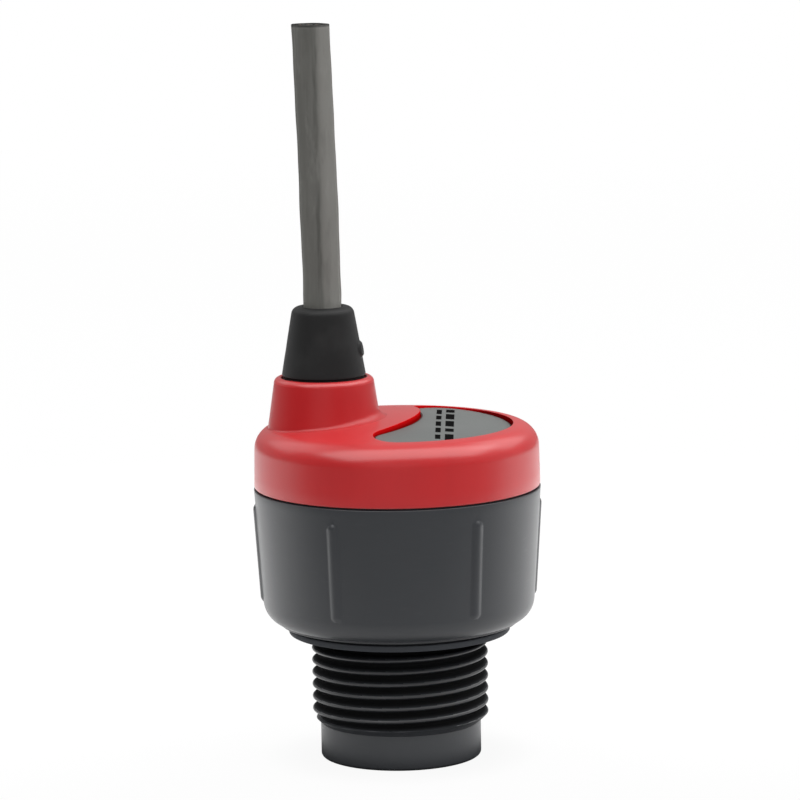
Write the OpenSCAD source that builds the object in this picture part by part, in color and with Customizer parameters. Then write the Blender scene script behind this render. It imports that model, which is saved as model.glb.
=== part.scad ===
// Ultrasonic level sensor. A threaded neck carries the transducer behind a flat radiating face,
// a ribbed housing above it holds the electronics, and a domed cap closes the housing.
// An off-centre boss on the cap holds the strain relief of the cable.
// Millimetres, +Z up. The origin is the centre of the nose face, and the boss lies towards -X.

/* [Neck] */
// Diameter of the smooth nose below the thread
nose_d = 30.2; // [28:0.1:30.2]
// Height of the smooth nose
nose_h = 6.6; // [4:0.1:12]
// Radius of the nose's lower edge
nose_edge_r = 0.6; // [0.2:0.1:1.5]
// Thickness of the radiating face
face_t = 2; // [1.2:0.1:3]
// Major diameter of the pipe thread
thread_d = 33.249; // [33.249:0.1:36]
// Pitch of the pipe thread
thread_pitch = 2.309; // [2:0.001:2.6]
// Radial depth of the pipe thread
thread_depth = 1.479; // [1.2:0.001:1.5]
// Length of the threaded stretch
thread_len = 15.3; // [12:0.1:24]
// Height of the plain relief between thread and collar
relief_h = 1.9; // [1.5:0.1:4]
// Diameter of the relief
relief_d = 29.6; // [28.4:0.1:30]
// Diameter of the bore that holds the transducer
neck_bore_d = 25; // [23:0.1:25.4]

/* [Housing] */
// Diameter of the seal collar under the housing
collar_d = 41.6; // [38:0.1:42]
// Height of the seal collar
collar_h = 2; // [1:0.1:4]
// Depth of the step inside the collar's sealing face
seal_step = 0.3; // [0.1:0.05:0.6]
// Diameter of the housing at its upper rim
body_d = 53.76; // [53.2:0.1:58]
// Height of the housing from underside to rim
body_h = 25.5; // [24:0.1:34]
// Draft of the housing's side wall, in degrees
body_draft = 3.7; // [2:0.1:4]
// Radius between underside and side wall
body_fillet = 4.4; // [3.5:0.1:5]
// Wall of the housing
wall = 2.2; // [1.6:0.1:2.6]
// Number of grip ribs around the housing
rib_count = 6; // [4:1:12]
// Width of a grip rib
rib_w = 2.2; // [1.2:0.1:3]
// Height of a grip rib above the side wall
rib_h = 0.5; // [0.3:0.05:0.8]
// Length of a grip rib
rib_len = 18.6; // [8:0.1:19]
// Height of a rib's lower end above the underside
rib_low = 4.1; // [4:0.1:5]
// Height of the shadow gap between housing and cap
seam_gap = 0.3; // [0.1:0.05:0.6]
// Depth of the shadow gap
seam_depth = 0.9; // [0.4:0.1:1]

/* [Cap] */
// Height of the cap's side wall
cap_side_h = 7.2; // [6.6:0.1:12]
// Draft of the cap's side wall, in degrees
cap_draft = 1.2; // [0:0.1:2]
// Radius of the cap's shoulder
shoulder_r = 4.25; // [3.5:0.05:4.6]
// Rise of the crown above the side wall
crown_rise = 6.05; // [5.6:0.05:7]
// Wall of the cap
cap_wall = 2.2; // [1.6:0.1:2.4]
// Length of the spigot that enters the housing
spigot_len = 3; // [2.6:0.1:4]
// Wall of the spigot
spigot_wall = 1.8; // [1.6:0.1:2.4]
// Section diameter of the seal ring in the spigot
seal_d = 1; // [0.8:0.1:1.2]

/* [Cable boss] */
// Distance of the boss from the cap's axis
boss_offset = 13.4; // [12.5:0.1:13.6]
// Diameter of the boss at its top
boss_top_d = 18.4; // [17.8:0.1:18.6]
// Half angle of the boss's taper, in degrees
boss_taper = 8.5; // [5:0.1:8.6]
// Rise of the boss above the crown
boss_rise = 7.5; // [5:0.1:12]
// Radius of the boss's upper edge
boss_edge_r = 1.1; // [0.3:0.05:1.1]
// Radius of the fillet at the foot of the boss
boss_foot_r = 1.5; // [1:0.1:2.5]

/* [Label] */
// Diameter of the recess's outer edge, about the cap's axis
recess_d = 43.6; // [42:0.1:44]
// Diameter of the recess's inner edge
recess_arc_d = 61; // [60:0.1:62]
// Distance of the inner edge's centre from the cap's axis
recess_arc_offset = 26.7; // [26:0.1:27]
// Radius of the recess's round ends
recess_end_r = 4.75; // [3:0.05:5]
// Turn of the recess about the cap's axis, in degrees
recess_turn = -15.6; // [-20:0.1:0]
// Depth of the recess
recess_depth = 1.2; // [0.7:0.05:1.3]
// Thickness of the label plate
label_t = 0.2; // [0.1:0.05:0.4]

/* [Strain relief] */
// Diameter of the boot in the boss and at its foot
boot_d = 15.8; // [15:0.1:16]
// Diameter of the boot at its top
boot_top_d = 11.8; // [10.5:0.1:13]
// Height of the boot above the boss
boot_h = 13.2; // [10:0.1:18]
// Radius of the boot's upper edge
boot_edge_r = 1.5; // [0.8:0.1:1.6]
// Diameter of the flange that holds the boot inside the cap
boot_flange_d = 19.2; // [18:0.1:20]
// Thickness of the flange
boot_flange_t = 2; // [1:0.1:2.2]
// Height of the flange's seat above the cap's lower edge
boot_seat_h = 9; // [8.6:0.1:9.2]
// Diameter of the moulded pip on the boot, and of the dimple across from it
pip_d = 2.8; // [2:0.1:4]
// Height of the pip above the boot, and depth of the dimple
pip_h = 0.45; // [0.2:0.05:0.8]
// Height of pip and dimple above the boss
pip_rise = 5.3; // [3:0.1:7]

/* [Cable] */
// Diameter of the cable's jacket
cable_d = 7.1; // [5:0.1:7.4]
// Number of wires in the cable
wire_count = 5; // [3:1:6]
// Diameter of an insulated wire
wire_d = 1.2; // [0.8:0.1:1.4]
// Radius of the arc of wires at the end of the jacket
wire_ring_r = 2.6; // [2.4:0.1:2.8]
// Width of the tie that holds the cable
tie_w = 2.4; // [1.6:0.1:2.5]
// Thickness of the tie
tie_t = 1.2; // [0.8:0.1:1.6]

/* [Transducer] */
// Thickness of the matching layer
matching_t = 2.6; // [1.5:0.1:4]
// Diameter of the ceramic disc
piezo_d = 19; // [15:0.1:20]
// Thickness of the ceramic disc
piezo_t = 7; // [4:0.1:8]
// Thickness of the damping block
backing_t = 5.4; // [3:0.1:6]
// Thickness of the potting resin
potting_t = 8; // [4:0.1:10]
// Diameter of a transducer lead
lead_d = 1; // [0.6:0.1:1.4]
// Distance between the two leads
lead_pitch = 8; // [4:0.1:10]

/* [Electronics] */
// Height of the circuit board above the housing's floor
board_lift = 8; // [7:0.1:10]
// Thickness of the circuit board
board_t = 1.6; // [1:0.1:2.4]
// Distance of the board's screws from the board's edge
screw_inset = 4.7; // [4.5:0.1:5]
// Number of board screws
screw_count = 3; // [3:1:3]
// Diameter of a board screw
screw_d = 2.2; // [1.6:0.1:2.5]
// Diameter of a screw head
screw_head_d = 4.2; // [3:0.1:4.5]
// Height of a screw head
screw_head_h = 1.7; // [1:0.1:2.4]
// Length of a board screw under its head
screw_len = 7; // [5:0.1:8]
// Diameter of a standoff in the housing
standoff_d = 5.2; // [4.4:0.1:5.4]
// Size of the pulse transformer
transformer_size = [11, 9, 9]; // [3:0.5:12]
// Size of one output relay
relay_size = [13, 5, 6.5]; // [3:0.5:13]
// Number of output relays
relay_count = 2; // [1:1:2]
// Size of the signal chip under the board
chip_size = [9, 9, 1.4]; // [1:0.1:10]
// Diameter of the storage capacitor
capacitor_d = 8; // [5:0.1:8.6]
// Height of the storage capacitor
capacitor_h = 10.5; // [6:0.1:12]
// Size of the timing crystal
crystal_size = [11, 4.5, 3.6]; // [2:0.1:11]
// Diameter of the power inductor
inductor_d = 9; // [6:0.1:9.4]
// Height of the power inductor
inductor_h = 5; // [3:0.1:8]
// Depth and height of the wire header
header_size = [5, 7]; // [4:0.1:8]
// Distance between two wires in the header
header_pitch = 2.5; // [2:0.1:2.6]

/* [Clearances] */
// Radial step from the housing's rim in to the cap's lower edge
cap_step = 0.08; // [0:0.02:0.3]
// Radial clearance between the thread's crests and the collar's sealing face
seal_face_gap = 0.9; // [0.5:0.1:1.5]
// Radial clearance of pieces that slip into a bore
slip_gap = 0.1; // [0.05:0.01:0.2]
// Clearance around the seal ring
seal_gap = 0.05; // [0.02:0.01:0.1]
// Clearance around the label plate
label_gap = 0.15; // [0.05:0.05:0.4]
// Thickness of the adhesive under the label plate
label_bond = 0.05; // [0.02:0.01:0.1]
// Clearance between the board's edge and the housing
board_gap = 0.8; // [0.5:0.1:2]

/* [Hidden] */
$fn = 96;

// How far a cutting solid reaches past what it cuts
cut_over = 1;

// Heights above the nose face
thread_z = nose_h;
relief_z = thread_z + thread_len;
collar_z = relief_z + relief_h;
body_z = collar_z + collar_h;
floor_z = body_z + wall;
rim_z = body_z + body_h;
cap_z = rim_z + seam_gap;
shoulder_z = cap_z + cap_side_h;
crown_z = shoulder_z + crown_rise;
boss_z = crown_z + boss_rise;
seat_z = cap_z + boot_seat_h;
boot_z = boss_z + boot_h;
board_z = floor_z + board_lift;
board_top_z = board_z + board_t;
piezo_z = face_t + matching_t;
backing_z = piezo_z + piezo_t;
potting_z = backing_z + backing_t;

// Thread of 55 degrees: the grooves leave a narrow flat on each crest
thread_flank = 27.5;
thread_crest_w = thread_pitch / 6;
thread_root_w = thread_pitch - thread_crest_w - 2 * thread_depth * tan(thread_flank);
thread_root_r = thread_d / 2 - thread_depth;
groove_over = 0.25;
groove_steps = 30;
groove_turn = -58;
groove_clear = 0.05;
lead_in = thread_d / 2 - nose_d / 2;

// Side wall of the housing, and the fillet that carries it to the underside
fillet_z = body_z + body_fillet;
function body_r(z) = body_d / 2 - (rim_z - z) * tan(body_draft);
fillet_r0 = body_r(fillet_z - body_fillet * sin(body_draft)) - body_fillet * cos(body_draft);
function cavity_r(z) = body_r(z) - wall / cos(body_draft);
land_wall = 1.4;
land_over = 1;
land_r = body_d / 2 - seam_depth - land_wall;
land_z = cap_z - spigot_len - land_over;

// Crown of the cap: a shallow sphere that meets the shoulder without an edge
cap_low_r = body_d / 2 - cap_step;
cap_d = 2 * (cap_low_r - cap_side_h * tan(cap_draft));
shoulder_r0 = cap_d / 2 - shoulder_r;
crown_r = (pow(shoulder_r0, 2) + pow(crown_rise, 2) - pow(shoulder_r, 2)) / (2 * (crown_rise - shoulder_r));
crown_angle = atan2(crown_r - crown_rise, shoulder_r0);
spigot_r = land_r - slip_gap;
groove_r = land_r - seal_d - 2 * seal_gap;

// Boss, and the recess beside it
boss_place = [-boss_offset, 0];
function boss_r(z) = boss_top_d / 2 + (boss_z - z) * tan(boss_taper);
boot_bore_r = boot_d / 2 + slip_gap;
recess_r = recess_d / 2;
recess_arc_r = recess_arc_d / 2;
recess_end_x = (pow(recess_arc_r + recess_end_r, 2) - pow(recess_r - recess_end_r, 2)
    - pow(recess_arc_offset, 2)) / (2 * recess_arc_offset);
recess_end_y = sqrt(pow(recess_r - recess_end_r, 2) - pow(recess_end_x, 2));
pip_turn = -12;
pip_r = boot_d / 2 - pip_rise * (boot_d - boot_top_d) / 2 / boot_h;

// Board plan: where each component stands, as a share of the board's radius
board_r = cavity_r(board_z) - board_gap;
screw_r = board_r - screw_inset;
screw_turn = 60;
transformer_at = [0.175, 0.35] * board_r;
relay_at = [0.22, -0.155] * board_r;
relay_step = 6;
capacitor_at = [0.7, 0.155] * board_r;
crystal_at = [-0.35, 0.61] * board_r;
inductor_at = [-0.305, -0.59] * board_r;
chip_at = [0.545, 0] * board_r;
header_at = [-0.46, 0] * board_r;

// Route of the cable: up through the boot, then free with a slight lean, to its square cut end
cable_route = [
    [-13.4, 0, 56], [-13.4, 0, 62], [-13.4, 0, 70], [-13.4, 0, 78], [-13.4, 0, 84],
    [-13.5, 0, 90], [-13.6, 0, 96], [-13.8, 0, 102], [-13.9, 0, 108], [-14.1, 0, 114],
    [-14.3, 0, 120], [-14.5, 0, 126], [-14.7, 0, 132], [-14.9, 0, 138]
];
cable_sides = 12;
wire_sides = 8;

function arc(centre, r, from, to, steps) =
    [for (i = [0:steps]) let (a = from + (to - from) * i / steps) centre + r * [cos(a), sin(a)]];

// Skin of a tube or groove whose rings of equal size follow one another
function ring_faces(rings, sides) = concat(
    [[for (j = [sides - 1:-1:0]) j]],
    [for (i = [0:rings - 2], j = [0:sides - 1])
        let (a = i * sides + j, b = i * sides + (j + 1) % sides) [a, b, b + sides, a + sides]],
    [[for (j = [0:sides - 1]) (rings - 1) * sides + j]]
);

// Outline of the recess, drawn in by the inset: two arcs and two round ends that touch both
function recess_outline(inset) =
    let (
        end = [recess_end_x, recess_end_y],
        low_end = [recess_end_x, -recess_end_y],
        outer = atan2(end.y, end.x),
        inner = atan2(end.y, end.x + recess_arc_offset)
    ) concat(
        arc([0, 0], recess_r - inset, -outer, outer, 36),
        arc(end, recess_end_r - inset, outer, inner + 180, 10),
        arc([-recess_arc_offset, 0], recess_arc_r + inset, inner, -inner, 20),
        arc(low_end, recess_end_r - inset, 180 - inner, 360 - outer, 10)
    );

// Crown and shoulder of the cap, lowered along their normals, down to a given height
function cap_profile(inset, low_r, low_z) = concat(
    [[0, low_z], [low_r, low_z]],
    arc([shoulder_r0, shoulder_z], shoulder_r - inset, 0, crown_angle, 12),
    arc([0, crown_z - crown_r], crown_r - inset, crown_angle, 90, 10)
);

module cap_solid(inset, low_r, low_z) {
    rotate_extrude()
        polygon(cap_profile(inset, low_r, low_z));
}

module at_boss() {
    translate(boss_place)
        children();
}

module ring(outer_r, inner_r, h) {
    difference() {
        cylinder(r = outer_r, h = h);
        translate([0, 0, -cut_over])
            cylinder(r = inner_r, h = h + 2 * cut_over);
    }
}

module on_board(place) {
    translate([place.x, place.y, board_top_z])
        children();
}

module block(size) {
    translate([-size.x / 2, -size.y / 2, 0])
        cube(size);
}

module at_screws() {
    for (i = [0:screw_count - 1])
        rotate(screw_turn + i * 360 / screw_count)
            translate([screw_r, 0, 0])
                children();
}

module at_leads() {
    for (side = [-1, 1])
        translate([side * lead_pitch / 2, 0, 0])
            children();
}

// Nose, thread blank, relief, collar and ribbed wall are one turned outline
module housing_outline() {
    polygon(concat(
        [[0, 0]],
        arc([nose_d / 2 - nose_edge_r, nose_edge_r], nose_edge_r, -90, 0, 6),
        [
            [nose_d / 2, thread_z],
            [thread_d / 2, thread_z + lead_in],
            [thread_d / 2, relief_z],
            [relief_d / 2, relief_z],
            [relief_d / 2, collar_z + seal_step],
            [thread_d / 2 + seal_face_gap, collar_z + seal_step],
            [thread_d / 2 + seal_face_gap, collar_z],
            [collar_d / 2, collar_z],
            [collar_d / 2, body_z]
        ],
        arc([fillet_r0, fillet_z], body_fillet, -90, -body_draft, 12),
        [
            [body_d / 2, rim_z],
            [body_d / 2 - seam_depth, rim_z],
            [body_d / 2 - seam_depth, cap_z],
            [0, cap_z]
        ]
    ));
}

module housing_cavity() {
    rotate_extrude()
        polygon(concat(
            [[0, floor_z]],
            arc([fillet_r0, fillet_z], body_fillet - wall, -90, -body_draft, 8),
            [
                [cavity_r(land_z), land_z],
                [land_r, land_z],
                [land_r, cap_z + cut_over],
                [0, cap_z + cut_over]
            ]
        ));
    translate([0, 0, face_t])
        cylinder(d = neck_bore_d, h = floor_z);
}

// One rib: a round bar sunk into the sloping wall, so that only its back stands out
module rib() {
    bar_r = (pow(rib_w / 2, 2) + pow(rib_h, 2)) / (2 * rib_h);
    low = body_z + rib_low;
    translate([body_r(low), 0, low])
        rotate([0, body_draft, 0])
            translate([rib_h - bar_r, 0, 0])
                rotate_extrude($fn = 32)
                    polygon(concat(
                        arc([0, bar_r], bar_r, -90, 0, 8),
                        arc([0, rib_len - bar_r], bar_r, 0, 90, 8)
                    ));
}

// Helical groove, right-handed, that leaves the crests of the thread standing.
// It starts below the thread and runs out in the relief, clear of the collar.
module thread_groove() {
    top_r = thread_d / 2 + groove_over;
    root_w = thread_root_w / 2;
    top_w = root_w + (thread_depth + groove_over) * tan(thread_flank);
    section = [[thread_root_r, -root_w], [top_r, -top_w], [top_r, top_w], [thread_root_r, root_w]];
    end_z = collar_z - groove_clear - top_w;
    turns = (end_z - thread_z) / thread_pitch + 0.5;
    last = round(turns * groove_steps);
    points = [for (i = [0:last], p = section)
        let (turn = (i - last) / groove_steps, a = groove_turn + 360 * turn)
        [p.x * cos(a), p.x * sin(a), end_z + thread_pitch * turn + p.y]];
    polyhedron(points, ring_faces(last + 1, len(section)), convexity = 10);
}

module housing() {
    color([0.26, 0.26, 0.27])
        difference() {
            union() {
                difference() {
                    union() {
                        rotate_extrude()
                            housing_outline();
                        for (i = [0:rib_count - 1])
                            rotate(i * 360 / rib_count)
                                rib();
                    }
                    housing_cavity();
                }
                at_screws()
                    translate([0, 0, floor_z - wall / 2])
                        cylinder(d = standoff_d, h = board_lift + wall / 2, $fn = 32);
            }
            at_screws()
                translate([0, 0, board_top_z - screw_len])
                    cylinder(d = screw_d + slip_gap, h = screw_len, $fn = 24);
            thread_groove();
        }
}

// Tapered boss with a round upper edge, from the flange's seat up
module boss() {
    edge_z = boss_z - boss_edge_r;
    at_boss()
        rotate_extrude()
            polygon(concat(
                [[0, seat_z], [boss_r(seat_z), seat_z]],
                arc([boss_r(edge_z) - boss_edge_r, edge_z], boss_edge_r, boss_taper, 90, 8),
                [[0, boss_z]]
            ));
}

// Hollow fillet between boss and crown: it leans with the crown and ends inside the shoulder
module boss_foot() {
    lean = asin(boss_offset / crown_r);
    foot_z = crown_z - crown_r + crown_r * cos(lean);
    sink = pow(boss_r(foot_z) + boss_foot_r, 2) / (2 * crown_r);
    in_r = boss_r(foot_z + boss_foot_r);
    intersection() {
        translate([-boss_offset, 0, foot_z - sink])
            rotate([0, -lean, 0])
                rotate_extrude()
                    polygon(concat(
                        [[0, -cap_wall / 2], [in_r + boss_foot_r, -cap_wall / 2]],
                        arc([in_r + boss_foot_r, boss_foot_r], boss_foot_r, 270, 180, 10),
                        [[0, boss_foot_r]]
                    ));
        cylinder(r = boss_offset + boss_r(foot_z), h = boss_z);
    }
}

module recess() {
    difference() {
        rotate(recess_turn)
            linear_extrude(height = crown_z + cut_over)
                polygon(recess_outline(0));
        cap_solid(recess_depth, cap_d / 2 - recess_depth, -cut_over);
    }
}

// Spigot with its seal groove, and the inner step that carries it on the cap's wall
module spigot() {
    groove_h = seal_d + 2 * seal_gap;
    in_r = spigot_r - spigot_wall;
    difference() {
        translate([0, 0, cap_z - spigot_len])
            ring(spigot_r, in_r, spigot_len + cap_wall / 2);
        translate([0, 0, cap_z - spigot_len / 2 - groove_h / 2])
            ring(spigot_r + cut_over, groove_r, groove_h);
    }
    translate([0, 0, cap_z])
        ring(cap_d / 2 - cap_wall / 2, in_r, cap_wall);
}

module cap() {
    color([0.75, 0.16, 0.18])
        difference() {
            union() {
                difference() {
                    cap_solid(0, cap_low_r, cap_z);
                    cap_solid(cap_wall, cap_low_r - cap_wall, cap_z - cut_over);
                }
                boss();
                boss_foot();
                spigot();
            }
            at_boss()
                cylinder(r = boot_bore_r, h = boss_z + cut_over);
            recess();
        }
}

module label_plate() {
    color([0.55, 0.56, 0.56])
        intersection() {
            rotate(recess_turn)
                linear_extrude(height = crown_z + cut_over)
                    polygon(recess_outline(label_gap));
            difference() {
                cap_solid(recess_depth - label_bond - label_t, cap_d / 2, -cut_over);
                cap_solid(recess_depth - label_bond, cap_d / 2, -2 * cut_over);
            }
        }
}

// Rubber boot: flange inside the cap, plug in the boss, tapered sleeve above it
module strain_relief() {
    edge_z = boot_z - boot_edge_r;
    slope = atan2((boot_d - boot_top_d) / 2, boot_h);
    bore_r = cable_d / 2 + slip_gap;
    color([0.1, 0.1, 0.1])
        at_boss()
            difference() {
                union() {
                    rotate_extrude()
                        polygon(concat(
                            [
                                [0, seat_z - boot_flange_t],
                                [boot_flange_d / 2, seat_z - boot_flange_t],
                                [boot_flange_d / 2, seat_z],
                                [boot_d / 2, seat_z],
                                [boot_d / 2, boss_z]
                            ],
                            arc([boot_top_d / 2 - boot_edge_r, edge_z], boot_edge_r, slope, 90, 8),
                            [[0, boot_z]]
                        ));
                    at_pip(pip_turn, 0)
                        cylinder(d = pip_d, h = pip_r + pip_h, $fn = 32);
                }
                at_pip(pip_turn + 180, pip_r - pip_h)
                    cylinder(d = pip_d, h = pip_h + cut_over, $fn = 32);
                cylinder(r = bore_r, h = boot_z + cut_over);
            }
}

// Side of the boot at the pip's height, out from a radius
module at_pip(turn, from_r) {
    rotate(turn)
        translate([0, 0, boss_z + pip_rise])
            rotate([0, 90, 0])
                translate([0, 0, from_r])
                    children();
}

// Tube of level rings along a route
module tube(route, d, sides) {
    points = [for (p = route, j = [0:sides - 1])
        let (a = 360 * j / sides)
        p + d / 2 * [cos(a), -sin(a), 0]];
    polyhedron(points, ring_faces(len(route), sides), convexity = 4);
}

module cable() {
    color([0.42, 0.42, 0.4])
        tube(cable_route, cable_d, cable_sides);
}

module cap_seal() {
    color([0.12, 0.12, 0.12])
        translate([0, 0, cap_z - spigot_len / 2])
            rotate_extrude()
                translate([groove_r + seal_gap + seal_d / 2, 0])
                    circle(d = seal_d, $fn = 32);
}

module matching_layer() {
    color([0.85, 0.82, 0.7])
        translate([0, 0, face_t])
            cylinder(d = neck_bore_d - 2 * slip_gap, h = matching_t);
}

module piezo_disc() {
    color([0.78, 0.72, 0.6])
        translate([0, 0, piezo_z])
            cylinder(d = piezo_d, h = piezo_t);
}

module isolation_sleeve() {
    color([0.55, 0.42, 0.3])
        translate([0, 0, piezo_z])
            ring(neck_bore_d / 2 - slip_gap, piezo_d / 2 + slip_gap, piezo_t);
}

// Disc in the neck that the two leads pass through
module lead_disc(z, h) {
    translate([0, 0, z])
        difference() {
            cylinder(d = neck_bore_d - 2 * slip_gap, h = h);
            at_leads()
                translate([0, 0, -cut_over])
                    cylinder(d = lead_d + 2 * slip_gap, h = h + 2 * cut_over, $fn = 24);
        }
}

module backing_block() {
    color([0.3, 0.28, 0.26])
        lead_disc(backing_z, backing_t);
}

module potting_plug() {
    color([0.15, 0.16, 0.2])
        lead_disc(potting_z, potting_t);
}

module transducer_leads() {
    color([0.8, 0.45, 0.2])
        at_leads()
            translate([0, 0, backing_z])
                cylinder(d = lead_d, h = board_z - backing_z, $fn = 24);
}

module circuit_board() {
    color([0.1, 0.4, 0.2])
        translate([0, 0, board_z])
            difference() {
                cylinder(r = board_r, h = board_t);
                at_screws()
                    translate([0, 0, -cut_over])
                        cylinder(d = screw_d + 2 * slip_gap, h = board_t + 2 * cut_over, $fn = 24);
            }
}

module board_screws() {
    color([0.75, 0.75, 0.77])
        at_screws()
            translate([0, 0, board_top_z]) {
                cylinder(d = screw_head_d, h = screw_head_h, $fn = 32);
                translate([0, 0, -screw_len])
                    cylinder(d = screw_d, h = screw_len, $fn = 24);
            }
}

module pulse_transformer() {
    color([0.9, 0.75, 0.2])
        on_board(transformer_at)
            block(transformer_size);
}

module output_relays() {
    color([0.2, 0.2, 0.22])
        for (i = [0:relay_count - 1])
            on_board([relay_at.x, relay_at.y - i * relay_step])
                block(relay_size);
}

module microcontroller() {
    color([0.08, 0.08, 0.08])
        translate([chip_at.x, chip_at.y, board_z - chip_size.z])
            block(chip_size);
}

module storage_capacitor() {
    color([0.2, 0.25, 0.4])
        on_board(capacitor_at)
            cylinder(d = capacitor_d, h = capacitor_h, $fn = 48);
}

module crystal() {
    color([0.8, 0.8, 0.8])
        on_board(crystal_at)
            block(crystal_size);
}

module power_inductor() {
    color([0.25, 0.22, 0.2])
        on_board(inductor_at)
            cylinder(d = inductor_d, h = inductor_h, $fn = 48);
}

module terminal_header() {
    color([0.15, 0.5, 0.25])
        on_board(header_at)
            block([header_size.x, wire_count * header_pitch, header_size.y]);
}

// Wires fan out from the end of the jacket to the header
module cable_wires() {
    top = cable_route[0];
    straight = 1.5;
    wire_fan = 160;
    header_z = board_top_z + header_size.y;
    color([0.7, 0.2, 0.15])
        for (i = [0:wire_count - 1]) {
            turn = wire_fan * (i / (wire_count - 1) - 0.5);
            start = top + wire_ring_r * [cos(turn), sin(turn), 0];
            end = [header_at.x, header_pitch * (i - (wire_count - 1) / 2), header_z];
            tube([start, start - [0, 0, straight], end + [0, 0, straight], end], wire_d, wire_sides);
        }
}

// Tie around the jacket, tight under the boot's flange
module cable_tie() {
    head = [3, 4];
    color([0.9, 0.9, 0.88])
        at_boss()
            translate([0, 0, seat_z - boot_flange_t - tie_w])
                difference() {
                    union() {
                        cylinder(r = cable_d / 2 + slip_gap + tie_t, h = tie_w);
                        translate([cable_d / 2, -head.y / 2, 0])
                            cube([head.x, head.y, tie_w]);
                    }
                    translate([0, 0, -cut_over])
                        cylinder(r = cable_d / 2 + slip_gap, h = tie_w + 2 * cut_over);
                }
}

housing();
cap();
label_plate();
strain_relief();
cable();
cap_seal();
matching_layer();
piezo_disc();
isolation_sleeve();
backing_block();
potting_plug();
transducer_leads();
circuit_board();
board_screws();
pulse_transformer();
output_relays();
microcontroller();
storage_capacitor();
crystal();
power_inductor();
terminal_header();
cable_wires();
cable_tie();
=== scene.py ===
"""Looks of the ultrasonic level sensor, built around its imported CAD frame.

Sizes are in millimetres and repeat those of the CAD source. MM turns them into the frame's metres.
"""

import math

import bmesh
import bpy
import numpy as np
from mathutils import Matrix, Vector
from mathutils.geometry import delaunay_2d_cdt


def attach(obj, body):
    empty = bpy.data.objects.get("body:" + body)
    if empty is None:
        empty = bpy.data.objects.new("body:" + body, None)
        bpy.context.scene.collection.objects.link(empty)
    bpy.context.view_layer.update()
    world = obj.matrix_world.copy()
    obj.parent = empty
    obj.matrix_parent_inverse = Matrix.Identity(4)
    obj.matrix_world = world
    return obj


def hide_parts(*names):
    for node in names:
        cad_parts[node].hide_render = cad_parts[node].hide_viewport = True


MM = 0.001
BODY = "root"

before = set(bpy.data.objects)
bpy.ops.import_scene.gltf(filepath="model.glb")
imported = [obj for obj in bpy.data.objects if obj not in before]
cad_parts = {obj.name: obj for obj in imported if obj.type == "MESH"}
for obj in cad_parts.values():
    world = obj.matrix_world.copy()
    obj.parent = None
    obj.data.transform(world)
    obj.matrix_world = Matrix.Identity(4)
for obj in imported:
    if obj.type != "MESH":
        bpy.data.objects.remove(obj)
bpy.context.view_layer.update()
scene = bpy.context.scene
scene.view_settings.view_transform = "Standard"


# Camera: fitted to the circles of nose, thread, collar and seam in an 800 x 800 picture

CAMERA_DISTANCE = 819.4
CAMERA_HEIGHT = 194.66
CAMERA_AZIMUTH = math.radians(-2.0)
CAMERA_PITCH = math.radians(8.818)
CAMERA_ROLL = math.radians(-0.883)
CAMERA_PAN = math.radians(-0.052)
FOCAL_PX = 4436.6
PICTURE_PX = 800
SENSOR_WIDTH = 36.0


def photo_camera():
    data = bpy.data.cameras.new("photo_camera")
    data.sensor_width = SENSOR_WIDTH
    data.lens = FOCAL_PX * SENSOR_WIDTH / PICTURE_PX
    camera = bpy.data.objects.new("photo_camera", data)
    turn = Matrix.Rotation(CAMERA_AZIMUTH, 4, "Z")
    place = Matrix.Translation((0, -CAMERA_DISTANCE * MM, CAMERA_HEIGHT * MM))
    aim = (
        Matrix.Rotation(CAMERA_PAN, 4, "Z")
        @ Matrix.Rotation(math.pi / 2 - CAMERA_PITCH, 4, "X")
        @ Matrix.Rotation(CAMERA_ROLL, 4, "Z")
    )
    camera.matrix_world = turn @ place @ aim
    scene.collection.objects.link(camera)
    scene.camera = camera


# Shader trees


class Signal:
    """A shader socket's output. Python's operators on it add Math nodes to its tree."""

    def __init__(self, tree, socket):
        self.tree = tree
        self.socket = socket

    def math(self, operation, *values):
        return self.tree.node("ShaderNodeMath", {"operation": operation}, dict(enumerate(values)))

    def __add__(self, other):
        return self.math("ADD", self, other)

    def __radd__(self, other):
        return self.math("ADD", other, self)

    def __sub__(self, other):
        return self.math("SUBTRACT", self, other)

    def __rsub__(self, other):
        return self.math("SUBTRACT", other, self)

    def __mul__(self, other):
        return self.math("MULTIPLY", self, other)

    def __rmul__(self, other):
        return self.math("MULTIPLY", other, self)

    def __truediv__(self, other):
        return self.math("DIVIDE", self, other)

    def __rtruediv__(self, other):
        return self.math("DIVIDE", other, self)

    def __pow__(self, other):
        return self.math("POWER", self, other)

    def __lt__(self, other):
        return self.math("LESS_THAN", self, other)

    def __gt__(self, other):
        return self.math("GREATER_THAN", self, other)

    def __abs__(self):
        return self.math("ABSOLUTE", self)

    def or_(self, other):
        return self.math("MAXIMUM", self, other)

    def and_(self, other):
        return self.math("MINIMUM", self, other)


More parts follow.
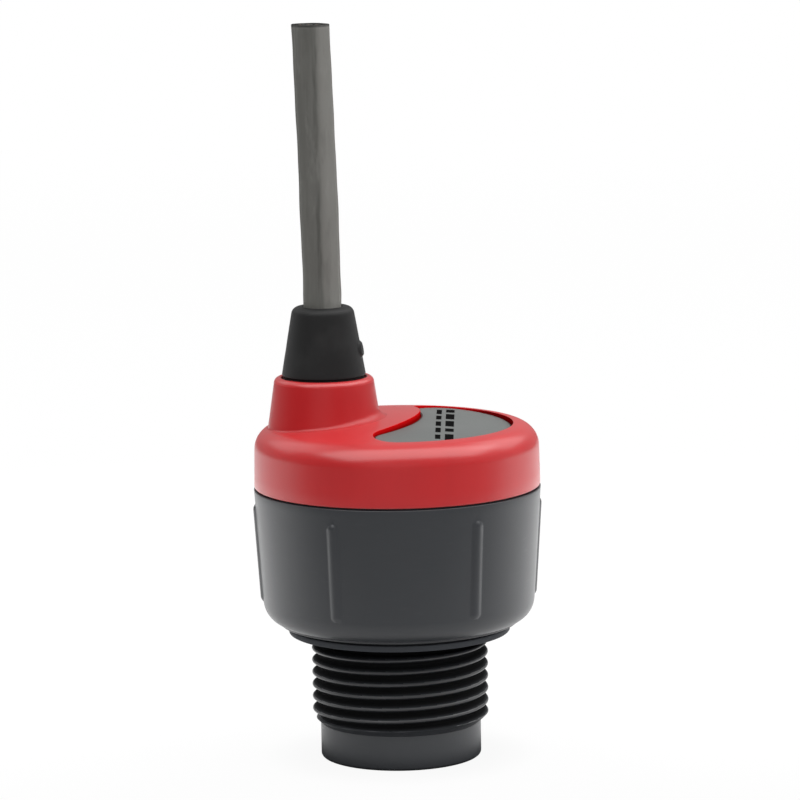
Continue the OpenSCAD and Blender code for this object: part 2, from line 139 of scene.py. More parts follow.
class Tree:
    """A node tree that is written as expressions."""

    def __init__(self, tree):
        self.tree = tree
        tree.nodes.clear()

    def node(self, kind, settings=None, sockets=None, output=0):
        """Adds a node: its settings first, then the values or links of its sockets."""
        made = self.tree.nodes.new(kind)
        for name, value in (settings or {}).items():
            setattr(made, name, value)
        for key, value in (sockets or {}).items():
            socket = self.pick(made.inputs, key)
            if isinstance(value, Signal):
                self.tree.links.new(value.socket, socket)
            else:
                socket.default_value = value
        return Signal(self, self.pick(made.outputs, output)) if len(made.outputs) else None

    @staticmethod
    def pick(sockets, key):
        """The socket with a place or a name, among those that are in use."""
        shown = [s for s in sockets if s.enabled]
        return shown[key] if isinstance(key, int) else next(s for s in shown if s.name == key)

    def place(self):
        return self.node("ShaderNodeTexCoord", output="Object")

    def axis(self, vector, name):
        return self.node("ShaderNodeSeparateXYZ", None, {0: vector}, name)

    def millimetres(self, vector, names="XYZ"):
        return [self.axis(vector, name) / MM for name in names]

    def stretched(self, vector, factors):
        return self.node("ShaderNodeVectorMath", {"operation": "MULTIPLY"}, {0: vector, 1: factors})

    def noise(self, vector, size, detail=2.0, roughness=0.5):
        """Clouds whose spots are about `size` millimetres across."""
        return self.node(
            "ShaderNodeTexNoise",
            None,
            {"Vector": vector, "Scale": 1 / (size * MM), "Detail": detail, "Roughness": roughness},
        )

    def span(self, value, low, high, to_low=0.0, to_high=1.0):
        return self.node(
            "ShaderNodeMapRange",
            {"interpolation_type": "SMOOTHSTEP"},
            {"Value": value, "From Min": low, "From Max": high, "To Min": to_low, "To Max": to_high},
        )

    def mix(self, share, first, second):
        """Blend of two colours, each a tuple or a Signal."""
        colours = [c if isinstance(c, Signal) else (*c, 1.0) for c in (first, second)]
        return self.node(
            "ShaderNodeMix", {"data_type": "RGBA"}, {"Factor": share, "A": colours[0], "B": colours[1]}
        )

    def bump(self, height, depth, strength=1.0, under=None):
        """Relief of `depth` millimetres, over another relief if one is given."""
        sockets = {"Height": height, "Distance": depth * MM, "Strength": strength}
        if under is not None:
            sockets["Normal"] = under
        return self.node("ShaderNodeBump", None, sockets)


def finish(name, build):
    """A material whose Principled sockets come from build(tree): Signals are linked, numbers are set."""
    material = bpy.data.materials.new(name)
    material.use_nodes = True
    tree = Tree(material.node_tree)
    surface = tree.node("ShaderNodeBsdfPrincipled", None, build(tree))
    tree.node("ShaderNodeOutputMaterial", None, {"Surface": surface})
    return material


# Mesh code


def grid(rows):
    """Quads over rows of points, each row closed around its axis."""
    rows = np.asarray(rows, float)
    count, columns = rows.shape[:2]
    i, j = np.meshgrid(np.arange(count - 1), np.arange(columns), indexing="ij")
    k = (j + 1) % columns
    here, above = i * columns, (i + 1) * columns
    quads = np.stack([here + j, here + k, above + k, above + j], -1)
    return rows.reshape(-1, 3), quads.reshape(-1, 4).tolist()


def ring(radius, height, angles, centre=(0.0, 0.0)):
    """One row of points around an axis; radius and height may vary with the angle."""
    radius = np.broadcast_to(radius, angles.shape)
    height = np.broadcast_to(height, angles.shape)
    x, y = centre[0] + radius * np.cos(angles), centre[1] + radius * np.sin(angles)
    return np.stack([x, y, height], -1)


def lathe(outline, angles, centre=(0.0, 0.0)):
    """Rows of points of an outline that is turned about an axis."""
    return [ring(r, z, angles, centre) for r, z in outline]


def arc(centre, radius, start, end, steps):
    """Points of an arc in a plane, its angles in degrees, both ends included."""
    a = np.radians(np.linspace(start, end, steps + 1))
    return np.stack([centre[0] + radius * np.cos(a), centre[1] + radius * np.sin(a)], -1)


def around(count):
    return np.arange(count) * 2 * math.pi / count


def inside(loop, points):
    """Which points lie inside a closed plane loop."""
    x, y = points[:, :1], points[:, 1:]
    ax, ay = loop[:, 0], loop[:, 1]
    bx, by = np.roll(ax, -1), np.roll(ay, -1)
    rise = np.where(by == ay, 1.0, by - ay)
    crossed = ((ay > y) != (by > y)) & (x < (bx - ax) * (y - ay) / rise + ax)
    return crossed.sum(1) % 2 == 1


def between(loops, points):
    """Which points lie inside the first loop and outside the others."""
    keep = inside(loops[0], points)
    for hole in loops[1:]:
        keep &= ~inside(hole, points)
    return keep


def clear_of(loops, points, gap):
    """Points between the loops and off all of their lines."""
    corners = np.concatenate(loops)
    near = np.linalg.norm(points[:, None] - corners[None], axis=2).min(1)
    return points[between(loops, points) & (near > gap)]


TRIANGLES_INSIDE = 1
SAME_POINT = 1e-6


def filled(loops, seeds, lift, gap):
    """Triangles between the loops of a plan, through the seed points, lifted into space."""
    seeds = clear_of(loops, seeds, gap)
    plan = np.concatenate([*loops, seeds])
    edges, start = [], 0
    for loop in loops:
        count = len(loop)
        edges += [(start + i, start + (i + 1) % count) for i in range(count)]
        start += count
    found = delaunay_2d_cdt([Vector(p) for p in plan], edges, [], TRIANGLES_INSIDE, SAME_POINT)
    points, triangles = np.array([tuple(p) for p in found[0]]), np.array(found[2])
    middles = points[triangles].mean(1)
    return lift(points), triangles[between(loops, middles)].tolist()


def seed_rings(runs, spacing):
    """Plan points on circles, each circle turned a little against the one before."""
    found = [np.zeros((1, 2))]
    for i, run in enumerate(runs):
        count = max(6, round(2 * math.pi * run / spacing))
        a = around(count) + (i % 2) * math.pi / count
        found.append(run * np.stack([np.cos(a), np.sin(a)], -1))
    return np.concatenate(found)


WELD = 0.002
SLIVER = 1e-9
SHARP_EDGE = math.radians(38)


def piece(name, patches, material, stands_for=()):
    """One closed object from patches that share their borders, riding on the sensor's only body."""
    corners, faces, start = [], [], 0
    for points, polygons in patches:
        corners.append(np.asarray(points, float))
        faces += [[start + i for i in polygon] for polygon in polygons]
        start += len(points)
    mesh = bpy.data.meshes.new(name)
    mesh.from_pydata(np.concatenate(corners) * MM, [], faces)
    work = bmesh.new()
    work.from_mesh(mesh)
    bmesh.ops.remove_doubles(work, verts=work.verts, dist=WELD * MM)
    bmesh.ops.dissolve_degenerate(work, edges=work.edges, dist=SLIVER)
    bmesh.ops.recalc_face_normals(work, faces=work.faces)
    work.to_mesh(mesh)
    work.free()
    mesh.shade_smooth()
    mesh.set_sharp_from_angle(angle=SHARP_EDGE)
    mesh.materials.append(material)
    made = bpy.data.objects.new(name, mesh)
    scene.collection.objects.link(made)
    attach(made, BODY)
    if stands_for:
        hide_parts(*stands_for)
    return made


def face_middles(made):
    """Middles of an object's faces in millimetres."""
    return np.array([tuple(face.center) for face in made.data.polygons]) / MM


def give_slots(made, slots):
    """Sets the material slot of each face."""
    for face, slot in zip(made.data.polygons, slots):
        face.material_index = int(slot)


def eased(share):
    """Smooth step from 0 to 1."""
    share = np.clip(share, 0, 1)
    return share * share * (3 - 2 * share)


def soft_max(a, b, reach):
    """The larger of two, rounded where they meet."""
    meet = np.maximum(reach - np.abs(a - b), 0) / reach
    return np.maximum(a, b) + meet**2 * reach / 4


def soft_min(a, b, reach):
    return -soft_max(-a, -b, reach)


# Sizes of the CAD source. Only RIB_TURN is added: it brings the ribs to where the photo shows them.

NOSE_R = 15.1
NOSE_H = 6.6
NOSE_EDGE_R = 0.6
FACE_T = 2.0
THREAD_R = 33.249 / 2
THREAD_PITCH = 2.309
THREAD_DEPTH = 1.479
THREAD_FLANK = math.radians(27.5)
THREAD_TURN = math.radians(-58)
RELIEF_Z = 21.9
RELIEF_R = 14.8
NECK_BORE_R = 12.5
COLLAR_R = 20.8
COLLAR_Z = 23.8
SEAL_STEP = 0.3
SEAL_FACE_GAP = 0.9
BODY_Z = 25.8
FLOOR_Z = 28.0
RIM_Z = 51.3
RIM_R = 26.88
BODY_DRAFT = math.radians(3.7)
BODY_FILLET = 4.4
WALL = 2.2
RIB_COUNT = 6
RIB_W = 2.2
RIB_H = 0.47
RIB_LEN = 18.6
RIB_Z = 29.9
RIB_TURN = math.radians(1.2)
SEAM_DEPTH = 0.9
LAND_R = 24.58
LAND_Z = 47.6
BOARD_Z = 36.0
STANDOFF_R = 2.6
STANDOFF_PLACE = 18.186
CAP_Z = 51.6
CAP_LOW_R = 26.8
SHOULDER_Z = 58.8
SHOULDER_R = 4.25
CAP_SIDE_R = CAP_LOW_R - (SHOULDER_Z - CAP_Z) * math.tan(math.radians(1.2))
CROWN_RISE = 6.05
CROWN_Z = SHOULDER_Z + CROWN_RISE
CAP_WALL = 2.2
SPIGOT_R = 24.48
SPIGOT_IN_R = 22.68
SPIGOT_LEN = 3.0
SEAL_GROOVE_R = 23.48
SEAL_GROOVE_H = 1.1
BOSS_X = -13.4
BOSS_Z = 72.35
BOSS_TOP_R = 9.2
BOSS_TAPER = math.radians(8.5)
BOSS_EDGE_R = 1.1
BOSS_BORE_R = 8.0
SEAT_Z = 60.6
SEAT_R = 10.4
RECESS_R = 21.8
RECESS_ARC_R = 30.5
RECESS_ARC_OFFSET = 26.7
RECESS_END_R = 4.75
RECESS_TURN = math.radians(-15.6)
LABEL_GAP = 0.15
LABEL_BOND = 0.05
LABEL_T = 0.2
BOOT_R = 7.9
BOOT_TOP_R = 5.9
BOOT_Z = 85.55
BOOT_EDGE_R = 1.5
BOOT_FLANGE_R = 9.6
BOOT_FLANGE_Z = 58.6
BOOT_BORE_R = 3.65
CABLE_R = 3.55
CABLE_ROUTE = [
    (-13.4, 0, 56), (-13.4, 0, 62), (-13.4, 0, 70), (-13.4, 0, 78), (-13.4, 0, 84),
    (-13.5, 0, 90), (-13.6, 0, 96), (-13.8, 0, 102), (-13.9, 0, 108), (-14.1, 0, 114),
    (-14.3, 0, 120), (-14.5, 0, 126), (-14.7, 0, 132), (-14.9, 0, 138),
]  # fmt: skip


# Finishes of what shows. Colours are linear red, green and blue, sizes of noise are millimetres.

PLASTIC_IOR = 1.5
HOUSING_DARK, HOUSING_LIGHT = (0.032, 0.0345, 0.039), (0.038, 0.0405, 0.045)
HOUSING_RUBBED = (0.048, 0.050, 0.053)
ROOT_PAINTED_SHADE = (0.003, 0.003, 0.003)

# Where the painted shade of the thread's roots fades: outwards, towards the nose and towards the collar
ROOT_FADE_OUT = (THREAD_R - 0.9, THREAD_R - 0.15)
ROOT_FADE_LOW = (NOSE_H + 0.8, NOSE_H + 1.8)
ROOT_FADE_HIGH = (COLLAR_Z + 0.3, COLLAR_Z + 0.4)


def housing_finish(painted_light_and_shade, roughness, specular):
    """Dark grey plastic; the roots of the thread get painted shade and stay dull."""
    # Colours scaled by the painted light and shade of each copy of the plastic
    dark, light = ([c * painted_light_and_shade for c in tone] for tone in (HOUSING_DARK, HOUSING_LIGHT))

    def build(tree):
        place = tree.place()
        x, y, z = tree.millimetres(place)
        out = (x * x + y * y) ** 0.5
        # Painted shade in the roots of the thread
        root = tree.span(out, *ROOT_FADE_OUT, 1.0, 0.0)
        root = root * tree.span(z, *ROOT_FADE_LOW)
        root = root * tree.span(z, *ROOT_FADE_HIGH, 1.0, 0.0)
        cloud = tree.noise(place, 14, 3)
        grain = tree.noise(place, 0.3, 2)
        scuff = tree.noise(tree.stretched(place, (1, 1, 6)), 3.5, 4, 0.65)
        rubbed = tree.span(scuff, 0.58, 0.74)
        colour = tree.mix(cloud, dark, light)
        colour = tree.mix(rubbed * 0.3, colour, HOUSING_RUBBED)
        return {
            "Base Color": tree.mix(root * 0.85, colour, ROOT_PAINTED_SHADE),
            "Roughness": roughness + cloud * 0.05 + grain * 0.04 - rubbed * 0.03 + root * 0.4,
            "IOR": PLASTIC_IOR,
            "Specular IOR Level": specular,
            "Normal": tree.bump(grain, 0.010, 0.4),
        }

    return build


CAP_DARK, CAP_LIGHT = (0.50, 0.0095, 0.0125), (0.54, 0.0115, 0.0145)
# Darker red for the side of the boss, as painted shade
BOSS_SHADED_DARK, BOSS_SHADED_LIGHT = (0.43, 0.008, 0.0105), (0.46, 0.0095, 0.012)
STREAK_SHADE = 0.92
DUST_AND_SHEEN = (0.55, 0.45, 0.45)
DUST_AND_SHEEN_SHARE = 0.032


def cap_finish(dark, light, roughness, specular):
    """Red satin plastic with slight streaks of its flow in the mould, and on top a little dust with a
    painted sheen.
    """
    streak = [c * STREAK_SHADE for c in dark]

    def build(tree):
        place = tree.place()
        cloud = tree.noise(place, 17, 2)
        grain = tree.noise(place, 0.4, 1)
        flow = tree.noise(tree.stretched(place, (1, 1, 0.35)), 5, 3, 0.6)
        colour = tree.mix(cloud, dark, light)
        colour = tree.mix(tree.span(flow, 0.35, 0.7) * 0.3, colour, streak)
        # Paler where the faces look up: dust, and a painted sheen
        up = tree.axis(tree.node("ShaderNodeNewGeometry", output="Normal"), "Z")
        return {
            "Base Color": tree.mix(tree.span(up, 0.4, 0.95) * DUST_AND_SHEEN_SHARE, colour, DUST_AND_SHEEN),
            "Roughness": roughness + flow * 0.012 + grain * 0.006,
            "IOR": PLASTIC_IOR,
            "Specular IOR Level": specular,
            "Normal": tree.bump(grain, 0.008, 0.3),
        }

    return build


RECESS_DARK, RECESS_LIGHT = (0.46, 0.003, 0.004), (0.50, 0.004, 0.005)
RECESS_DEEP_SHADE = (0.16, 0.001, 0.001)
RECESS_RIGHT_SHADE = (0.05, 0.0, 0.001)


def recess_finish(tree):
    """Red of the recess's wall, with painted shade that darkens it towards the label and on the far right.
    """
    place = tree.place()
    x, y, z = tree.millimetres(place)
    skin = CapSkin(0)
    depth = (skin.crown_r**2 - x * x - y * y) ** 0.5 + skin.middle - z
    cloud = tree.noise(place, 17, 2)
    grain = tree.noise(place, 0.4, 1)
    colour = tree.mix(cloud, RECESS_DARK, RECESS_LIGHT)
    # Painted shade: darker with depth towards the label, and on the far right
    colour = tree.mix(tree.span(depth, 0.3, 1.0) * 0.8, colour, RECESS_DEEP_SHADE)
    return {
        "Base Color": tree.mix(tree.span(x, 13, 18) * 0.75, colour, RECESS_RIGHT_SHADE),
        "Roughness": 0.5 + grain * 0.1,
        "Specular IOR Level": 0.0,
        "Normal": tree.bump(grain, 0.008, 0.3),
    }


LABEL_DARK, LABEL_LIGHT = (0.185, 0.195, 0.19), (0.225, 0.235, 0.23)
LABEL_FLAKE = (0.32, 0.33, 0.325)
PRINT_BLACK = (0.006, 0.006, 0.006)
PRINT_TURN = math.radians(3.3)

# Each column of print: its middle, its width, and where its bars start and end
PRINT_COLUMNS = (
    (7.9, 1.0, ((-17.0, -13.4), (-11.4, -7.2), (-5.4, -0.6), (1.6, 6.4), (8.6, 15.6))),
    (10.0, 1.6, ((-18.0, -12.6), (-10.4, -7.4), (-5.4, 0.4), (2.4, 9.2), (11.4, 16.2))),
)


def label_finish(tree):
    """Satin grey film with two columns of plain printed bars."""
    place = tree.place()
    x, y = tree.millimetres(place, "XY")
    across = x * math.cos(PRINT_TURN) - y * math.sin(PRINT_TURN)
    along = y * math.cos(PRINT_TURN) + x * math.sin(PRINT_TURN)
    flake = tree.noise(place, 0.09, 1)
    cloud = tree.noise(place, 11, 2)
    colour = tree.mix(cloud, LABEL_DARK, LABEL_LIGHT)
    colour = tree.mix(tree.span(flake, 0.35, 0.75) * 0.3, colour, LABEL_FLAKE)
    printed = None
    for middle, width, bars in PRINT_COLUMNS:
        column = None
        for start, end in bars:
            bar = (along > start).and_(along < end)
            column = bar if column is None else column.or_(bar)
        column = column.and_(abs(across - middle) < width / 2)
        printed = column if printed is None else printed.or_(column)
    return {
        "Base Color": tree.mix(printed, colour, PRINT_BLACK),
        "Metallic": 0.6 - printed * 0.6,
        "Roughness": 0.42 + flake * 0.10 + printed * 0.45,
        "Specular IOR Level": 0.0,
        "Normal": tree.bump(flake, 0.004, 0.35),
    }


EDGE_SHADE_DARK, EDGE_SHADE_LIGHT = (0.055, 0.030, 0.028), (0.070, 0.038, 0.035)


def label_edge_finish(tree):
    """Dark border of the film along the wall, as painted shade."""
    place = tree.place()
    flake = tree.noise(place, 0.12, 1)
    cloud = tree.noise(place, 5, 2)
    return {
        "Base Color": tree.mix(cloud, EDGE_SHADE_DARK, EDGE_SHADE_LIGHT),
        "Roughness": 0.55 + flake * 0.10,
        "Specular IOR Level": 0.15,
        "Normal": tree.bump(flake, 0.004, 0.35),
    }


BOOT_BLACK, BOOT_BLOOM = (0.0105, 0.0105, 0.0108), (0.0155, 0.0155, 0.0158)


def boot_finish(tree):
    """Dull black rubber with a faint grey bloom."""
    place = tree.place()
    cloud = tree.noise(place, 6, 3, 0.6)
    grain = tree.noise(place, 0.2, 2)
    bloom = tree.span(cloud, 0.45, 0.75)
    return {
        "Base Color": tree.mix(bloom, BOOT_BLACK, BOOT_BLOOM),
        "Roughness": 0.46 + grain * 0.10 + bloom * 0.06,
        "IOR": PLASTIC_IOR,
        "Specular IOR Level": 0.36,
        "Normal": tree.bump(grain, 0.012, 0.5),
    }


JACKET_GREY, JACKET_PAINTED_LIGHT = (0.122, 0.121, 0.111), (0.176, 0.173, 0.161)
JACKET_CLOUD = (0.140, 0.138, 0.128)
JACKET_CREASE_SHADE = (0.06, 0.06, 0.055)
JACKET_PALE_SMEAR, JACKET_DARK_SMEAR = (0.205, 0.203, 0.190), (0.095, 0.094, 0.086)
JACKET_CUT_EDGE = (0.02, 0.02, 0.019)
JACKET_DRAWN = (0.180, 0.178, 0.167)
CREASE_FOOT = 4
CREASE_DRIFT = 0.85
CREASE_WANDER = 1.1
CREASE_BESIDE = 0.35


def jacket_finish(tree):
    """Grey jacket with smears and soft lumps; paler on one side of the crease along it as painted light."""
    place = tree.place()
    wander = tree.noise(tree.stretched(place, (0, 0, 1)), 8, 2)
    smear = tree.noise(tree.stretched(place, (1, 1, 0.3)), 2.4, 3, 0.6)
    drawn = tree.noise(tree.stretched(place, (1, 1, 0.06)), 0.9, 3, 0.6)
    cloud = tree.noise(tree.stretched(place, (1, 1, 0.3)), 4.5, 2)
    grain = tree.noise(place, 0.25, 2)
    x, y, z = tree.millimetres(place)
    (low_x, _, low_z), (high_x, _, high_z) = CABLE_ROUTE[CREASE_FOOT], CABLE_ROUTE[-1]
    middle = low_x + (z - low_z) * ((high_x + CREASE_DRIFT - low_x) / (high_z - low_z))
    middle = middle + (wander - 0.5) * CREASE_WANDER
    # Painted shade along the crease, on the front of the jacket
    crease = tree.span(abs(x - middle + CREASE_BESIDE), 0.1, 0.5, 1.0, 0.0) * (y < 0)
    # Painted light: paler on one side of the crease
    colour = tree.mix(tree.span(x - middle + cloud * 0.3, 0.0, 0.6), JACKET_GREY, JACKET_PAINTED_LIGHT)
    for share, tone in (
        (tree.span(cloud, 0.35, 0.7) * 0.3, JACKET_CLOUD),
        (crease * tree.span(cloud, 0.35, 0.65, 0.2, 0.65), JACKET_CREASE_SHADE),
        (tree.span(smear, 0.52, 0.72) * 0.5, JACKET_PALE_SMEAR),
        (tree.span(smear, 0.28, 0.48, 1.0, 0.0) * 0.35, JACKET_DARK_SMEAR),
        (tree.span(z, high_z - 0.5, high_z - 0.25) * 0.8, JACKET_CUT_EDGE),
        (tree.span(drawn, 0.4, 0.75) * 0.3, JACKET_DRAWN),
    ):
        colour = tree.mix(share, colour, tone)
    return {
        "Base Color": colour,
        "Roughness": 0.50 + drawn * 0.10 + grain * 0.06,
        "IOR": PLASTIC_IOR,
        "Specular IOR Level": 0.3,
        "Normal": tree.bump(grain, 0.010, 0.5, tree.bump(smear, 0.15, 0.5)),
    }


CUT_DARK, CUT_LIGHT = (0.014, 0.014, 0.013), (0.030, 0.029, 0.027)


def cut_finish(tree):
    """Cut face of the cable: dark filler and jacket, smeared by the cutter."""
    place = tree.place()
    smear = tree.noise(tree.stretched(place, (0.25, 1, 1)), 0.5, 3, 0.6)
    return {
        "Base Color": tree.mix(smear, CUT_DARK, CUT_LIGHT),
        "Roughness": 0.70 + smear * 0.2,
        "Specular IOR Level": 0.06,
        "Normal": tree.bump(smear, 0.05, 0.6),
    }


INNER_RELIEF = 0.01


def inner_finish(dark, light, size, roughness, metallic=0.0):
    """Plain finish of a piece inside the housing: clouded colour, fine grain, uneven gloss."""

    def build(tree):
        place = tree.place()
        cloud = tree.noise(place, size, 3)
        grain = tree.noise(place, size * 0.08, 2)
        return {
            "Base Color": tree.mix(cloud, dark, light),
            "Roughness": roughness - 0.06 + cloud * 0.06 + grain * 0.06,
            "Metallic": metallic,
            "Normal": tree.bump(grain, INNER_RELIEF, 0.5),
        }

    return build


# Housing: one lathe outline, with the helical thread and the ribs as changes of its radius

# Mesh: close columns on each side of a rib's middle in degrees, columns over a rib and between two
# ribs, rows over the thread
RIB_SPREAD = 3.2
RIB_COLUMNS = 21
GAP_COLUMNS = 20
THREAD_ROWS = 186

# Painted light and shade as a factor on the colour, roughness and specular level. The collar gets
# painted light, the roots and crests of the thread painted shade. The collar and the roots of the
# thread are left rough from the mould, and its crests are rubbed
HOUSING_FINISHES = {
    "housing_plastic": (1.0, 0.31, 0.65),
    "collar_plastic_painted_light": (1.5, 0.6, 0.15),
    "thread_root_plastic_painted_shade": (0.6, 0.5, 0.1),
    "thread_crest_plastic_painted_shade": (0.6, 0.31, 1.0),
}


def housing_angles():
    """Columns of the housing: close together over each rib, wider between them."""
    rib = np.radians(np.linspace(-RIB_SPREAD, RIB_SPREAD, RIB_COLUMNS))
    gap = np.radians(np.linspace(RIB_SPREAD, 360 / RIB_COUNT - RIB_SPREAD, GAP_COLUMNS))[1:-1]
    step = 2 * math.pi / RIB_COUNT
    turns = [RIB_TURN + i * step for i in range(RIB_COUNT)]
    return np.concatenate([turn + part for turn in turns for part in (rib, gap)])


def wall_r(z):
    return RIM_R - (RIM_Z - z) * math.tan(BODY_DRAFT)


def thread_r(z, angles):
    """Radius of the right-handed thread, its crests and roots rounded."""
    crest_w = THREAD_PITCH / 6
    root_w = THREAD_PITCH - crest_w - 2 * THREAD_DEPTH * math.tan(THREAD_FLANK)
    groove_over, groove_clear = 0.25, 0.05
    root_round, crest_round = 0.5, 0.45
    mouth = root_w / 2 + (THREAD_DEPTH + groove_over) * math.tan(THREAD_FLANK)
    groove = COLLAR_Z - groove_clear - mouth + THREAD_PITCH * (angles - THREAD_TURN) / (2 * math.pi)
    off = np.abs((z - groove + THREAD_PITCH / 2) % THREAD_PITCH - THREAD_PITCH / 2)
    flank = (off - root_w / 2) / math.tan(THREAD_FLANK)
    rise = soft_min(soft_max(flank, 0.0, root_round), THREAD_DEPTH, crest_round)
    return THREAD_R - THREAD_DEPTH + rise


def rib_rise(z, angles):
    """Height of the ribs above the side wall: round bars sunk into it."""
    foot_round = 0.26
    bar_r = ((RIB_W / 2) ** 2 + RIB_H**2) / (2 * RIB_H)
    run = (z - RIB_Z) / math.cos(BODY_DRAFT)
    end = RIB_W / 2
    past = max(0.0, end - run, run - (RIB_LEN - end))
    step = 2 * math.pi / RIB_COUNT
    across = wall_r(z) * ((angles - RIB_TURN + step / 2) % step - step / 2)
    reach = np.sqrt(np.maximum(bar_r**2 - past**2 - across**2, 0.0)) - (bar_r - RIB_H)
    return soft_max(reach, 0.0, foot_round)


def housing():
    angles = housing_angles()
    rows = []

    def add(*points):
        rows.extend(lathe(points, angles))

    # Radiating face with its moulded ring, nose and lead-in
    ring_r, ring_w, ring_t = 12.9, 0.25, 0.14
    ring_top = ring_w * 0.6
    flat_in, flat_out, nose_row, step = 6, 13.9, 3, 0.15
    add((0, 0), (flat_in, 0), (ring_r - ring_w, 0), (ring_r - ring_top, ring_t))
    add((ring_r + ring_top, ring_t), (ring_r + ring_w, 0), (flat_out, 0))
    add(*arc((NOSE_R - NOSE_EDGE_R, NOSE_EDGE_R), NOSE_EDGE_R, -90, 0, 6))
    add((NOSE_R, nose_row), (NOSE_R, NOSE_H - step))

    # Thread
    lead_in = THREAD_R - NOSE_R
    chamfer, edge_round = 0.3, 0.12
    for z in np.linspace(NOSE_H, RELIEF_Z, THREAD_ROWS):
        blank = min(NOSE_R + max(0.0, z - NOSE_H), THREAD_R)
        if z > NOSE_H + lead_in:
            blank = min(blank, THREAD_R - max(0.0, z - (RELIEF_Z - chamfer)))
        rows.append(ring(soft_min(thread_r(z, angles), blank, edge_round), z, angles))

    # Relief, sealing face, collar and the shadow groove above it
    face_r, seal_z = THREAD_R + SEAL_FACE_GAP, COLLAR_Z + SEAL_STEP
    edge, groove, groove_r, relief_step = 0.22, 0.85, COLLAR_R - 1.0, 0.05
    add((RELIEF_R, RELIEF_Z + relief_step), (RELIEF_R, seal_z), (face_r, seal_z), (face_r, COLLAR_Z))
    add(*arc((COLLAR_R - edge, COLLAR_Z + edge), edge, -90, 0, 4))
    add(*arc((COLLAR_R - edge, BODY_Z - groove - edge), edge, 0, 90, 4))
    add((groove_r, BODY_Z - groove))

    # Lip, fillet and ribbed side wall
    fillet_z = BODY_Z + BODY_FILLET
    foot = fillet_z - BODY_FILLET * math.sin(BODY_DRAFT)
    fillet_r0 = wall_r(foot) - BODY_FILLET * math.cos(BODY_DRAFT)
    lip_turn, lip_z, lip_edge = -73, BODY_Z - 0.15, 0.12
    lip_r = fillet_r0 + BODY_FILLET * math.cos(math.radians(lip_turn))
    add((groove_r, lip_z), *arc((lip_r - lip_edge, lip_z + lip_edge), lip_edge, -90, 0, 3))
    add(*arc((fillet_r0, fillet_z), BODY_FILLET, lip_turn, -math.degrees(BODY_DRAFT), 15))
    rib_top = RIB_Z + RIB_LEN * math.cos(BODY_DRAFT)
    above_foot, rib_end, past_rib, last_row = 0.08, 1.6, 0.2, 49.8
    low = np.linspace(foot + above_foot, RIB_Z + rib_end, 14)
    middle = np.linspace(RIB_Z + rib_end, rib_top - rib_end, 11)[1:-1]
    high = np.linspace(rib_top - rib_end, rib_top + past_rib, 16)
    for z in [*low, *middle, *high, last_row]:
        rows.append(ring(wall_r(z) + rib_rise(z, angles), z, angles))
    rim_edge = 0.15
    add(*arc((wall_r(RIM_Z - rim_edge) - rim_edge, RIM_Z - rim_edge), rim_edge, 0, 90, 5))

    # Seam, land, cavity and neck bore, back to the axis
    add((RIM_R - SEAM_DEPTH, RIM_Z), (RIM_R - SEAM_DEPTH, CAP_Z), (LAND_R, CAP_Z), (LAND_R, LAND_Z))
    inner = WALL / math.cos(BODY_DRAFT)
    add((wall_r(LAND_Z) - inner, LAND_Z))
    add(*arc((fillet_r0, fillet_z), BODY_FILLET - WALL, -math.degrees(BODY_DRAFT), -90, 8))
    add((NECK_BORE_R, FLOOR_Z), (NECK_BORE_R, FACE_T), (0, FACE_T))
    patches = [grid(rows)]

    # Standoffs under the board
    for turn in (60, 180, 300):
        a = math.radians(turn)
        centre = (STANDOFF_PLACE * math.cos(a), STANDOFF_PLACE * math.sin(a))
        root = FLOOR_Z - WALL / 2
        outline = [(0, root), (STANDOFF_R, root), (STANDOFF_R, BOARD_Z), (0, BOARD_Z)]
        patches.append(grid(lathe(outline, around(32), centre)))
    finishes = [finish(name, housing_finish(*values)) for name, values in HOUSING_FINISHES.items()]
    made = piece("housing_moulding", patches, finishes[0], ["housing"])
    for other in finishes[1:]:
        made.data.materials.append(other)

    # Faces of the collar, which gets painted light, and of the roots and crests of the thread, which get
    # painted shade
    collar, root, crest = 1, 2, 3
    collar_low, collar_high = COLLAR_Z - 0.1, BODY_Z - groove + 0.05
    neck_r, thread_low, root_r = NECK_BORE_R + 1, NOSE_H + 1.2, THREAD_R - 0.25
    for face in made.data.polygons:
        x, y, z = face.center / MM
        out = math.hypot(x, y)
        if out > face_r and collar_low < z < collar_high:
            face.material_index = collar
        elif neck_r < out and thread_low < z < seal_z:
            face.material_index = root if out < root_r else crest


# Cap: the crown and shoulder unrolled to a plan, with the boss and the recess let into it


